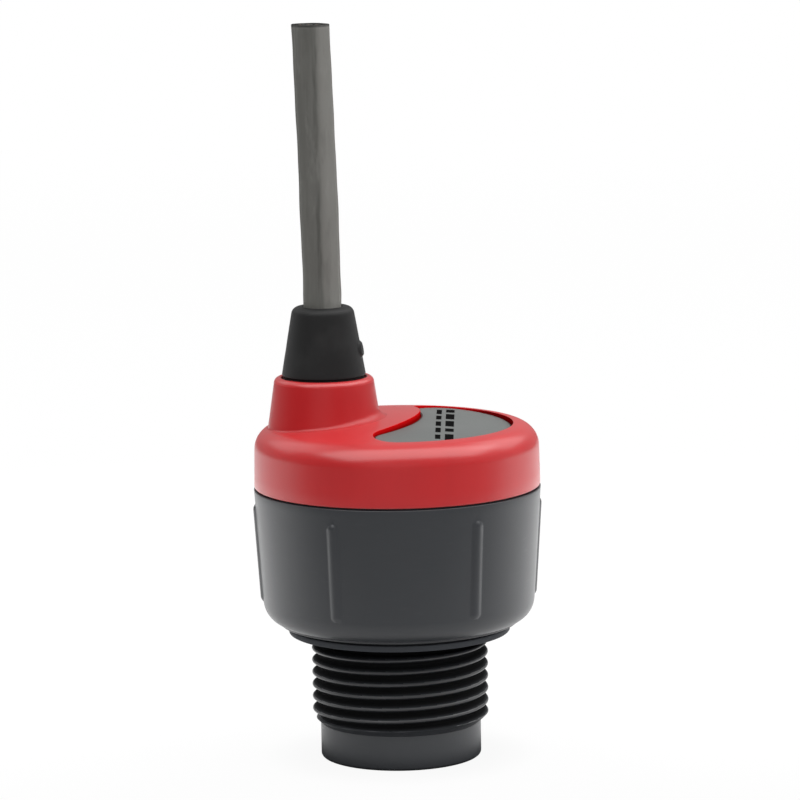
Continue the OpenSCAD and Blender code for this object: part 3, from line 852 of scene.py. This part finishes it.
class CapSkin:
    """Crown and shoulder of the cap, lowered along their normals by an inset."""

    def __init__(self, inset):
        shoulder_r0 = CAP_SIDE_R - SHOULDER_R
        rise = CROWN_RISE - SHOULDER_R
        crown_r = (shoulder_r0**2 + CROWN_RISE**2 - SHOULDER_R**2) / (2 * rise)
        self.joint = math.atan2(crown_r - CROWN_RISE, shoulder_r0)
        self.middle = CROWN_Z - crown_r
        self.crown_r = crown_r - inset
        self.shoulder_r0 = shoulder_r0
        self.shoulder_r = SHOULDER_R - inset
        self.joint_r = self.crown_r * math.cos(self.joint)
        self.joint_run = self.crown_r * (math.pi / 2 - self.joint)

    def _turn(self, r):
        return np.arccos(np.clip((r - self.shoulder_r0) / self.shoulder_r, 0, 1))

    def height(self, r):
        crown = self.middle + np.sqrt(self.crown_r**2 - np.minimum(r, self.joint_r) ** 2)
        return np.where(r <= self.joint_r, crown, SHOULDER_Z + self.shoulder_r * np.sin(self._turn(r)))

    def run(self, r):
        """Length of the skin from its axis out to a radius."""
        crown = self.crown_r * np.arcsin(np.minimum(r, self.joint_r) / self.crown_r)
        shoulder = self.joint_run + self.shoulder_r * (self.joint - self._turn(r))
        return np.where(r <= self.joint_r, crown, shoulder)

    def radius(self, run):
        crown = self.crown_r * np.sin(np.minimum(run, self.joint_run) / self.crown_r)
        turn = self.joint - (run - self.joint_run) / self.shoulder_r
        return np.where(run <= self.joint_run, crown, self.shoulder_r0 + self.shoulder_r * np.cos(turn))

    def unroll(self, plan):
        r = np.linalg.norm(plan, axis=-1)
        return plan * (self.run(r) / np.maximum(r, 1e-9))[..., None]

    def lift(self, unrolled):
        run = np.linalg.norm(unrolled, axis=-1)
        r = self.radius(run)
        plan = unrolled * (r / np.maximum(run, 1e-9))[..., None]
        return np.concatenate([plan, self.height(r)[..., None]], -1)

    def turn_radius(self, degrees):
        return self.shoulder_r0 + self.shoulder_r * math.cos(math.radians(degrees))


def recess_outline(inset):
    """Crescent between an arc about the cap's axis and a wider one, with round ends."""
    off = RECESS_ARC_OFFSET
    reach = RECESS_R - RECESS_END_R
    x = ((RECESS_ARC_R + RECESS_END_R) ** 2 - reach**2 - off**2) / (2 * off)
    y = math.sqrt(reach**2 - x**2)
    outer = math.degrees(math.atan2(y, x))
    inner = math.degrees(math.atan2(y, x + off))
    arcs = [
        arc((0, 0), RECESS_R - inset, -outer, outer, 88),
        arc((x, y), RECESS_END_R - inset, outer, inner + 180, 30),
        arc((-off, 0), RECESS_ARC_R + inset, inner, -inner, 48),
        arc((x, -y), RECESS_END_R - inset, 180 - inner, 360 - outer, 30),
    ]
    loop = np.concatenate([a[:-1] for a in arcs])
    c, s = math.cos(RECESS_TURN), math.sin(RECESS_TURN)
    return loop @ np.array([[c, s], [-s, c]])


LABEL_DEPTH = 1.12
LABEL_BOW = 0.0017


def label_drop(plan):
    """Depth of the label under the crown: the plate is flatter lengthwise than the crown is."""
    along = plan[:, 1] * math.cos(RECESS_TURN) - plan[:, 0] * math.sin(RECESS_TURN)
    return LABEL_DEPTH - LABEL_BOW * along**2


def sunk(plan, drop, skin):
    """Points of a plan on the crown, lowered by a drop."""
    height = skin.height(np.linalg.norm(plan, axis=-1)) - drop
    return np.concatenate([plan, height[:, None]], -1)


def round_edge(radius, steps):
    """Inset and drop of a rounded upper edge, from the flat to the wall."""
    turns = np.radians(np.linspace(0, 90, steps + 1))
    return [(radius * math.sin(t) - radius, radius * (1 - math.cos(t))) for t in turns]


def skin_seeds(skin, step, gap, reach, shoulder_step, spacing):
    """Seed points over a skin: wide rings on the crown, close ones over the shoulder."""
    crown = np.arange(step, skin.joint_run - gap, step)
    shoulder = np.arange(skin.joint_run, reach, shoulder_step)
    return seed_rings([*crown, *shoulder], spacing)


# Radius of the fillet around the boss, turning from the right (0) to the left (180), in degrees;
# each radius is the mean of three turns
FOOT_TURNS = (0, 35, 90, 150, 180)
FOOT_RADII = (1.9, 1.8, 0.85, 0.45, 0.45)
FOOT_BLEND = (-12, 0, 12)
FOOT_NEAR, FOOT_FAR = 9.6, 15.0
HALVINGS = 50


def boss_foot(skin, angles):
    """Fillet between boss and crown in each section through the boss's axis, as rows of points."""
    turn = np.degrees(np.abs((angles + math.pi) % (2 * math.pi) - math.pi))
    radii = [np.interp(turn + d, FOOT_TURNS, FOOT_RADII) for d in FOOT_BLEND]
    radius = sum(radii) / len(FOOT_BLEND)
    lean, tip = math.cos(BOSS_TAPER), math.sin(BOSS_TAPER)
    nudge = 0.01

    def crown(out):
        x, y = BOSS_X + out * np.cos(angles), out * np.sin(angles)
        return skin.height(np.hypot(x, y))

    def section(out):
        slope = (crown(out + nudge) - crown(out - nudge)) / (2 * nudge)
        length = np.sqrt(1 + slope**2)
        return slope, out - radius * slope / length, crown(out) + radius / length

    low, high = np.full(angles.shape, FOOT_NEAR), np.full(angles.shape, FOOT_FAR)
    for _ in range(HALVINGS):
        out = (low + high) / 2
        _, r, z = section(out)
        cone = BOSS_TOP_R + (BOSS_Z - (z - radius * tip)) * math.tan(BOSS_TAPER)
        beyond = r - radius * lean > cone
        high, low = np.where(beyond, out, high), np.where(beyond, low, out)
    slope, r, z = section(out)
    start, end = math.pi + BOSS_TAPER, 1.5 * math.pi + np.arctan(slope)
    rows = []
    for share in np.linspace(0, 1, 11):
        a = start + (end - start) * share
        rows.append((r + radius * np.cos(a), z + radius * np.sin(a)))
    rows[-1] = (out, crown(out))
    return rows


# Where the crown's plan ends on the shoulder, outside and inside, in degrees above level
SHOULDER_SPLIT = 36
LINING_SPLIT = 20
BOSS_COLUMNS, CAP_COLUMNS = 168, 240
SEED_GAP = 0.34
FLOOR_INSET = 0.13


def cap():
    skin, lining = CapSkin(0), CapSkin(CAP_WALL)
    boss, turns, wheel = (BOSS_X, 0.0), around(BOSS_COLUMNS), around(CAP_COLUMNS)
    patches = []

    # Boss: flange seat, bore, upper edges, taper and foot
    edge_z = BOSS_Z - BOSS_EDGE_R
    edge_r = BOSS_TOP_R + BOSS_EDGE_R * math.tan(BOSS_TAPER) - BOSS_EDGE_R
    seat = ring(SEAT_R, 0, turns, boss)[:, :2]
    seat_height = lining.height(np.linalg.norm(seat, axis=1))
    bore_edge = 0.22
    bore_corner = (BOSS_BORE_R + bore_edge, BOSS_Z - bore_edge)
    outline = [(SEAT_R, seat_height), (SEAT_R, SEAT_Z), (BOSS_BORE_R, SEAT_Z)]
    outline += arc(bore_corner, bore_edge, 180, 90, 4).tolist()
    outline += arc((edge_r, edge_z), BOSS_EDGE_R, 90, math.degrees(BOSS_TAPER), 8).tolist()
    foot = boss_foot(skin, turns)
    (top_r, top_z), (foot_r, foot_z) = outline[-1], foot[0]
    for share in (0.25, 0.5, 0.75):
        outline.append((top_r + (foot_r - top_r) * share, top_z + (foot_z - top_z) * share))
    patches.append(grid(lathe(outline + foot, turns, boss)))

    # Crown, from the boss's foot and the recess's edge out to the shoulder
    rim = round_edge(radius=0.28, steps=5)
    crown_edge = ring(skin.turn_radius(SHOULDER_SPLIT), 0, wheel)[:, :2]
    foot_plan = ring(foot[-1][0], 0, turns, boss)[:, :2]
    loops = [skin.unroll(p) for p in (crown_edge, foot_plan, recess_outline(rim[0][0]))]
    seeds = skin_seeds(skin, step=0.9, gap=0.3, reach=28, shoulder_step=0.37, spacing=0.8)
    patches.append(filled(loops, seeds, skin.lift, SEED_GAP))

    # Recess: round edge, wall, and the floor under the label
    rows = [sunk(recess_outline(i), d, skin) for i, d in rim]
    plate = LABEL_T + LABEL_BOND
    for inset, above in ((0, 0.12), (0.04, 0.03), (FLOOR_INSET, 0)):
        loop = recess_outline(inset)
        rows.append(sunk(loop, label_drop(loop) + plate - above, skin))
    patches.append(grid(rows))

    def floor(plan):
        return sunk(plan, label_drop(plan) + plate, skin)

    floor_step, floor_gap = 1.2, 0.5
    seeds = seed_rings(np.arange(floor_step, RECESS_R, floor_step), floor_step)
    patches.append(filled([recess_outline(FLOOR_INSET)], seeds, floor, floor_gap))

    # Shoulder, side, lower edge, spigot with its seal groove, inner side
    low_edge = 0.32
    outline = arc((skin.shoulder_r0, SHOULDER_Z), SHOULDER_R, SHOULDER_SPLIT, 0, 12).tolist()
    outline += [(CAP_SIDE_R + 0.05, SHOULDER_Z - 2.4), (CAP_SIDE_R + 0.1, SHOULDER_Z - 4.8)]
    outline += arc((CAP_LOW_R - low_edge, CAP_Z + low_edge), low_edge, 0, -90, 6).tolist()
    groove_z, half = CAP_Z - SPIGOT_LEN / 2, SEAL_GROOVE_H / 2
    outline += [
        (SPIGOT_R, CAP_Z), (SPIGOT_R, groove_z + half), (SEAL_GROOVE_R, groove_z + half),
        (SEAL_GROOVE_R, groove_z - half), (SPIGOT_R, groove_z - half), (SPIGOT_R, CAP_Z - SPIGOT_LEN),
        (SPIGOT_IN_R, CAP_Z - SPIGOT_LEN), (SPIGOT_IN_R, CAP_Z + CAP_WALL),
        (CAP_LOW_R - CAP_WALL - 0.05, CAP_Z + CAP_WALL),
    ]  # fmt: skip
    outline += arc((lining.shoulder_r0, SHOULDER_Z), lining.shoulder_r, 0, LINING_SPLIT, 4).tolist()
    patches.append(grid(lathe(outline, wheel)))

    # Underside of the crown, around the flange seat
    lining_edge = ring(lining.turn_radius(LINING_SPLIT), 0, wheel)[:, :2]
    loops = [lining.unroll(p) for p in (lining_edge, seat)]
    seeds = skin_seeds(lining, step=1.5, gap=0.4, reach=26, shoulder_step=0.4, spacing=1.3)
    patches.append(filled(loops, seeds, lining.lift, SEED_GAP))
    crown_finish = cap_finish(CAP_DARK, CAP_LIGHT, roughness=0.282, specular=1.0)
    made = piece("cap_moulding", patches, finish("cap_plastic", crown_finish), ["cap"])

    # The wall of the recess gets a deeper red and the side of the boss a darker red, both painted shade;
    # the boss's side is also duller. Small margins leave the rims of both to the cap's own finish.
    shaded_boss_finish = cap_finish(BOSS_SHADED_DARK, BOSS_SHADED_LIGHT, roughness=0.31, specular=0.55)
    made.data.materials.append(finish("recess_plastic_painted_shade", recess_finish))
    made.data.materials.append(finish("boss_plastic_painted_shade", shaded_boss_finish))
    in_recess, on_boss = 1, 2
    x, y, z = face_middles(made).T
    out = np.hypot(x, y)
    depth = skin.height(out) - z
    sunken = (out < RECESS_R + 0.05) & (depth > 0.06) & (depth < CAP_WALL - 0.4)
    raised = (depth < -0.01) & (np.hypot(x - BOSS_X, y) > BOSS_BORE_R + 0.3) & (z < edge_z - 0.1)
    give_slots(made, np.where(sunken, in_recess, np.where(raised, on_boss, 0)))


# Label: the inset and drop of its edge, from the border to the underside

LABEL_BORDER = 0.3
LABEL_EDGE = ((LABEL_BORDER, 0), (0.10, 0), (0.03, 0.03), (0, 0.09), (0, LABEL_T))


def label():
    skin = CapSkin(0)
    step, gap = 1.0, 0.4
    rows = []
    for inset, drop in LABEL_EDGE:
        loop = recess_outline(LABEL_GAP + inset)
        rows.append(sunk(loop, label_drop(loop) + drop, skin))
    patches = [grid(rows)]
    seeds = seed_rings(np.arange(step, RECESS_R, step), step)
    for inset, drop in (LABEL_EDGE[0], LABEL_EDGE[-1]):
        loop = recess_outline(LABEL_GAP + inset)
        patches.append(filled([loop], seeds, lambda p, d=drop: sunk(p, label_drop(p) + d, skin), gap))
    film = piece("label_film", patches, finish("label_film", label_finish), ["label_plate"])
    film.data.materials.append(finish("label_edge", label_edge_finish))
    # The film's border takes the painted shade of the edge finish
    give_slots(film, ~inside(recess_outline(LABEL_GAP + LABEL_BORDER), face_middles(film)[:, :2]))


# Strain relief: rubber boot with a moulded pip on one side and a dimple on the other

PIP_TURN = math.radians(-12)
PIP_Z = 77.65
PIP_R = 1.4
PIP_H = 0.45
PIP_EDGE = 0.5
DIMPLE_DEPTH = 0.4
DIMPLE_EDGE = 0.35
BOOT_COLUMNS, BOOT_ROWS = 176, 58


def pip_rise(r, z, angles):
    """Height of the pip above the boot, and depth of the dimple across from it."""
    rise = 0.0
    pip, dimple = (PIP_TURN, PIP_H, PIP_EDGE), (PIP_TURN + math.pi, -DIMPLE_DEPTH, DIMPLE_EDGE)
    for turn, height, edge in (pip, dimple):
        across = r * ((angles - turn + math.pi) % (2 * math.pi) - math.pi)
        away = np.hypot(across, z - PIP_Z) / PIP_R
        rise = rise + height * eased((1 + edge / 2 - away) / edge)
    return rise


def boot():
    angles, boss = around(BOOT_COLUMNS), (BOSS_X, 0.0)
    slope = math.atan2(BOOT_R - BOOT_TOP_R, BOOT_Z - BOSS_Z)

    # Flange, shank, and the groove between the boss's rim and the cone
    groove_r, foot_rise = BOOT_R - 0.42, 0.62
    outline = [(BOOT_BORE_R, BOOT_FLANGE_Z), (BOOT_FLANGE_R, BOOT_FLANGE_Z), (BOOT_FLANGE_R, SEAT_Z)]
    outline += [(BOOT_R, SEAT_Z), (BOOT_R, BOSS_Z - 0.6), (groove_r, BOSS_Z - 0.25)]
    outline += [(groove_r, BOSS_Z + 0.12), (BOOT_R - 0.1, BOSS_Z + 0.42)]
    rows = lathe(outline, angles, boss)

    # Cone with the pip and the dimple
    edge_z = BOOT_Z - BOOT_EDGE_R
    edge_r = BOOT_TOP_R - BOOT_EDGE_R
    start_r = edge_r + BOOT_EDGE_R * math.cos(slope)
    start_z = edge_z + BOOT_EDGE_R * math.sin(slope)
    foot_z = BOSS_Z + foot_rise
    foot_r = BOOT_R - foot_rise * math.tan(slope)
    for z in np.linspace(foot_z, start_z, BOOT_ROWS):
        r = foot_r + (start_r - foot_r) * (z - foot_z) / (start_z - foot_z)
        rows.append(ring(r + pip_rise(r, z, angles), z, angles, boss))

    # Upper edge and bore
    lip = 0.25
    outline = arc((edge_r, edge_z), BOOT_EDGE_R, math.degrees(slope), 90, 9)[1:].tolist()
    outline += arc((BOOT_BORE_R + lip, BOOT_Z - lip), lip, 90, 180, 3).tolist()
    outline += [(BOOT_BORE_R, BOOT_FLANGE_Z)]
    rows += lathe(outline, angles, boss)
    material = finish("boot_rubber", boot_finish)
    piece("strain_relief_boot", [grid(rows)], material, ["strain_relief"])


# Cable: jacket drawn tight over five cores, cut off square

CORE_COUNT = 5
CORE_TURN = math.radians(-88)
TWIST = math.radians(16)
JACKET_RIDGE_R = 3.72
JACKET_FLAT = 0.085
CUT_DEPTH = 0.45
JACKET_T = 0.95
CREASE_OFF = math.radians(5)
CREASE_W = math.radians(4.5)
CREASE_DEPTH = 0.16
JACKET_TRIM = 0.05
JACKET_START = 0.2
JACKET_BLEND = 2.5
ROUTE_BLEND = 5.0
BOOT_END = 84
JACKET_COLUMNS, HIDDEN_ROWS, FREE_ROWS = 110, 12, 76


def route_at(z):
    """Middle of the cable at a height, along a smooth curve through the route's points."""
    route = np.array(CABLE_ROUTE, float)
    steps = np.array((-1, -0.5, 0, 0.5, 1)) * ROUTE_BLEND
    if not route[0, 2] + ROUTE_BLEND < z < route[-1, 2] - ROUTE_BLEND:
        steps = np.zeros(1)
    return np.interp(z + steps, route[:, 2], route[:, 0]).mean()


def jacket_r(z, angles):
    """Radius of the jacket: round in the boot, then flats between soft ridges, a crease and lumps."""
    turn = CORE_TURN + TWIST * (z - BOOT_Z) / (CABLE_ROUTE[-1][2] - BOOT_Z)
    flat = 0.5 - 0.5 * np.cos(CORE_COUNT * (angles - turn))
    step = 2 * math.pi / CORE_COUNT
    beside = (angles - turn + CREASE_OFF + step / 2) % step - step / 2
    crease = CREASE_DEPTH * np.exp(-((beside / CREASE_W) ** 2))
    lump = 0.03 * math.sin(z / 3.1) + 0.02 * math.sin(z / 1.37 + 1) + 0.03 * np.sin(z / 4 + 2 * angles)
    free = JACKET_RIDGE_R * (1 - JACKET_FLAT * flat) - crease + lump - JACKET_TRIM
    return CABLE_R + (free - CABLE_R) * eased((z - BOOT_Z - JACKET_START) / JACKET_BLEND)


def cable():
    angles = around(JACKET_COLUMNS)
    top = CABLE_ROUTE[-1][2]
    bottom = CABLE_ROUTE[0][2]
    end = (CABLE_ROUTE[-1][0], 0)
    rows = [ring(0, bottom, angles, (CABLE_ROUTE[0][0], 0))]
    edge = 0.14
    bevel = edge * 0.3
    hidden = np.linspace(bottom, BOOT_END, HIDDEN_ROWS)
    free = np.linspace(BOOT_END, top - edge, FREE_ROWS)[1:]
    for z in [*hidden, *free]:
        rows.append(ring(jacket_r(z, angles), z, angles, (route_at(z), 0)))
    last = jacket_r(top - edge, angles)
    rows += [ring(last - bevel, top - bevel, angles, end), ring(last - edge, top, angles, end)]
    jacket = piece(
        "cable_jacket", [grid(rows + cut_face(angles, end))],
        finish("cable_jacket", jacket_finish), ["cable"],
    )  # fmt: skip
    jacket.data.materials.append(finish("cable_cut", cut_finish))
    facing_up, cut_low = 0.5, (top - 0.03 - CUT_DEPTH * 1.2) * MM
    for polygon in jacket.data.polygons:
        if polygon.normal.z > facing_up and polygon.center.z > cut_low:
            polygon.material_index = 1
    cores = core_ends(end, top)


def cut_face(angles, end):
    """Cut end: ring of jacket, and the filler a little below it."""
    top = CABLE_ROUTE[-1][2]
    inner, edge = CABLE_R - JACKET_T, 0.05
    outline = [(inner + edge, top), (inner, top - edge), (inner, top - CUT_DEPTH)]
    outline += [(inner / 2, top - CUT_DEPTH - edge), (0, top - CUT_DEPTH)]
    return lathe(outline, angles, end)


CORE_DARK, CORE_LIGHT = (0.05, 0.05, 0.048), (0.08, 0.08, 0.076)
COPPER_DARK, COPPER_LIGHT = (0.26, 0.12, 0.07), (0.38, 0.18, 0.10)


def core_ends(end, top):
    """Cut ends of the cable's cores: an insulation sleeve and a bundle of strands each."""
    ring_r, sleeve_r, wire_r, lay_r = 1.62, 0.74, 0.44, 0.29
    strand_r, strand_tip_r = 0.16 * 0.88, 0.16 * 0.7
    sunk_in, edge, bore_edge = 0.4, 0.05, 0.03
    sleeve_below, sleeve_uneven, strand_below, strand_uneven = 0.12, 0.05, 0.02, 0.03
    sleeves, strands = [], []
    for i in range(CORE_COUNT):
        a = CORE_TURN + (i + 0.5) * 2 * math.pi / CORE_COUNT
        centre = (end[0] + ring_r * math.cos(a), end[1] + ring_r * math.sin(a))
        low, high = top - CUT_DEPTH - sunk_in, top - sleeve_below - sleeve_uneven * (i % 3)
        outline = [(wire_r, low), (sleeve_r, low), (sleeve_r, high - edge), (sleeve_r - edge, high)]
        outline += [(wire_r + bore_edge, high), (wire_r, high - bore_edge), (wire_r, low)]
        sleeves.append(grid(lathe(outline, around(28), centre)))
        places = [(0.0, 0.0)] + [(lay_r * math.cos(t), lay_r * math.sin(t)) for t in around(6)]
        for k, (dx, dy) in enumerate(places):
            tip = high - strand_below - strand_uneven * (k % 3)
            outline = [(0, low), (strand_r, low), (strand_r, tip - bore_edge), (strand_tip_r, tip), (0, tip)]
            middle = (centre[0] + dx, centre[1] + dy)
            strands.append(grid(lathe(outline, around(12), middle)))
    insulation = finish("core_insulation", inner_finish(CORE_DARK, CORE_LIGHT, 0.8, 0.6))
    copper = finish("core_copper", inner_finish(COPPER_DARK, COPPER_LIGHT, 0.4, 0.45, metallic=1.0))
    return [
        piece("core_sleeves", sleeves, insulation),
        piece("core_strands", strands, copper),
    ]


# Finishes of the pieces inside the housing, which stay as the CAD made them: dark and light colour,
# size of the clouds, roughness, metallic

INSIDE = {
    "cap_seal": ((0.010, 0.010, 0.010), (0.018, 0.018, 0.018), 2, 0.6, 0.0),
    "matching_layer": ((0.55, 0.50, 0.36), (0.66, 0.61, 0.46), 4, 0.55, 0.0),
    "piezo_disc": ((0.46, 0.38, 0.26), (0.56, 0.48, 0.34), 3, 0.6, 0.0),
    "isolation_sleeve": ((0.19, 0.10, 0.05), (0.26, 0.15, 0.08), 2, 0.8, 0.0),
    "backing_block": ((0.05, 0.045, 0.04), (0.08, 0.07, 0.06), 3, 0.7, 0.0),
    "potting_plug": ((0.012, 0.013, 0.018), (0.020, 0.021, 0.028), 6, 0.25, 0.0),
    "transducer_leads": ((0.60, 0.26, 0.10), (0.72, 0.34, 0.15), 1, 0.35, 1.0),
    "circuit_board": ((0.010, 0.075, 0.025), (0.016, 0.110, 0.038), 5, 0.35, 0.0),
    "board_screws": ((0.50, 0.50, 0.52), (0.62, 0.62, 0.64), 2, 0.3, 1.0),
    "pulse_transformer": ((0.62, 0.42, 0.03), (0.74, 0.53, 0.06), 3, 0.45, 0.0),
    "output_relays": ((0.022, 0.022, 0.026), (0.034, 0.034, 0.038), 4, 0.4, 0.0),
    "microcontroller": ((0.012, 0.012, 0.012), (0.020, 0.020, 0.020), 2, 0.5, 0.0),
    "storage_capacitor": ((0.02, 0.035, 0.11), (0.03, 0.05, 0.15), 4, 0.35, 0.0),
    "crystal": ((0.55, 0.55, 0.54), (0.66, 0.66, 0.65), 2, 0.28, 1.0),
    "power_inductor": ((0.035, 0.030, 0.028), (0.055, 0.048, 0.044), 2, 0.6, 0.0),
    "terminal_header": ((0.012, 0.16, 0.045), (0.020, 0.21, 0.065), 3, 0.45, 0.0),
    "cable_wires": ((0.36, 0.025, 0.02), (0.46, 0.04, 0.03), 2, 0.45, 0.0),
    "cable_tie": ((0.72, 0.71, 0.66), (0.80, 0.79, 0.75), 2, 0.45, 0.0),
}


def dress_inside():
    for name, settings in INSIDE.items():
        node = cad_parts[name]
        node.data.materials.clear()
        node.data.materials.append(finish(name, inner_finish(*settings)))


# Stage: white table and surroundings, softboxes above and on the right, a key, a fill and a light
# strip over the far table

TABLE_Z = -0.02
TABLE_RINGS = (0, 60, 200, 800, 2500, 6000)
TABLE_DARK, TABLE_LIGHT = (0.86, 0.86, 0.86), (0.88, 0.88, 0.88)
BLACK = (0.0, 0.0, 0.0)

# Fades over the table: from, to, value before, value after
SHADE_UNDER = (14.8, 28, 0.05, 1.0)
SHADE_FRONT = (-140, 70, 0.27, 1.0)
SHADE_FAR = (280, 350, 1.0, 0.6)
FLOOR_SEEN = (150, 1200, 0.94, 1.0)
WORLD_LEVEL = 0.2
WORLD_MIRRORED = (-0.6, 0.6, 0.13, 0.35)


def floor():
    """Table that is grey under the sensor, in front of it and far off, and pale behind it.

    The camera sees mostly white, with a trace of the soft shadow.
    """
    points, faces = grid(lathe([(r, TABLE_Z) for r in TABLE_RINGS], around(48)))
    mesh = bpy.data.meshes.new("studio_floor")
    mesh.from_pydata(points * MM, [], faces)
    made = bpy.data.objects.new("studio_floor", mesh)
    scene.collection.objects.link(made)
    material = bpy.data.materials.new("studio_floor")
    material.use_nodes = True
    tree = Tree(material.node_tree)
    place = tree.place()
    paper = tree.noise(place, 30, 3)
    pale = tree.mix(paper, TABLE_DARK, TABLE_LIGHT)
    x, y = tree.millimetres(place, "XY")
    away = (x * x + y * y) ** 0.5
    open_to_light = tree.span(away, *SHADE_UNDER) * tree.span(y, *SHADE_FRONT)
    open_to_light = open_to_light * tree.span(away, *SHADE_FAR)
    lit = tree.node("ShaderNodeBsdfDiffuse", None, {"Color": tree.mix(open_to_light, BLACK, pale)})
    white = tree.node("ShaderNodeEmission", None, {"Color": (1, 1, 1, 1), "Strength": 1.0})
    seen = tree.node("ShaderNodeLightPath", output="Is Camera Ray") * tree.span(away, *FLOOR_SEEN)
    surface = tree.node("ShaderNodeMixShader", None, {0: seen, 1: lit, 2: white})
    tree.node("ShaderNodeOutputMaterial", None, {"Surface": surface})
    mesh.materials.append(material)


def surroundings():
    """White for the eye, dim for the light and the reflections."""
    world = bpy.data.worlds.new("studio")
    scene.world = world
    world.use_nodes = True
    tree = Tree(world.node_tree)
    camera = tree.node("ShaderNodeLightPath", output="Is Camera Ray")
    mirrored = tree.node("ShaderNodeLightPath", output="Is Glossy Ray").or_(
        tree.node("ShaderNodeLightPath", output="Is Transmission Ray")
    )
    towards = tree.axis(tree.node("ShaderNodeTexCoord", output="Generated"), "Y")
    level = WORLD_LEVEL + mirrored * (tree.span(towards, *WORLD_MIRRORED) - WORLD_LEVEL)
    strength = level + camera * (1 - level)
    background = tree.node("ShaderNodeBackground", None, {"Color": (1, 1, 1, 1), "Strength": strength})
    tree.node("ShaderNodeOutputWorld", None, {"Surface": background})


SENSOR_MIDDLE = (0, 0, 60)


def softbox(name, azimuth, elevation, distance, size, radiance, mirrored, aim=SENSOR_MIDDLE):
    """A rectangle of even light that faces a point; azimuth 0 is the camera's side."""
    data = bpy.data.lights.new(name, "AREA")
    data.shape = "RECTANGLE"
    data.size, data.size_y = (s * MM for s in size)
    data.energy = radiance * math.pi * data.size * data.size_y
    lamp = bpy.data.objects.new(name, data)
    a, e = math.radians(azimuth), math.radians(elevation)
    back = Vector((math.sin(a) * math.cos(e), -math.cos(a) * math.cos(e), math.sin(e)))
    lamp.location = (Vector(aim) + back * distance) * MM
    lamp.rotation_mode = "QUATERNION"
    lamp.rotation_quaternion = (-back).to_track_quat("-Z", "Y")
    lamp.visible_camera = False
    lamp.visible_glossy = mirrored
    scene.collection.objects.link(lamp)


# Name, azimuth, elevation, distance, size, radiance, whether reflections show it, and what it faces
LAMPS = (
    ("left_top_softbox", -125, 38, 1000, (700, 600), 0.7, True),
    ("right_top_softbox", 122, 38, 1000, (700, 600), 1.1, True),
    ("right_softbox", 95, 10, 900, (600, 900), 0.15, True),
    ("right_key", 62, 25, 1000, (800, 800), 1.4, False),
    ("overhead_softbox", 14, 72, 950, (2400, 1000), 1.95, True),
    ("front_fill", -5, 15, 1400, (1200, 700), 1.6, False),
    ("table_strip", 180, 90, 400, (1800, 600), 1.7, False, (0, 450, 0)),
)


photo_camera()
cable()
housing()
cap()
label()
boot()
dress_inside()
floor()
surroundings()
for lamp_settings in LAMPS:
    softbox(*lamp_settings)
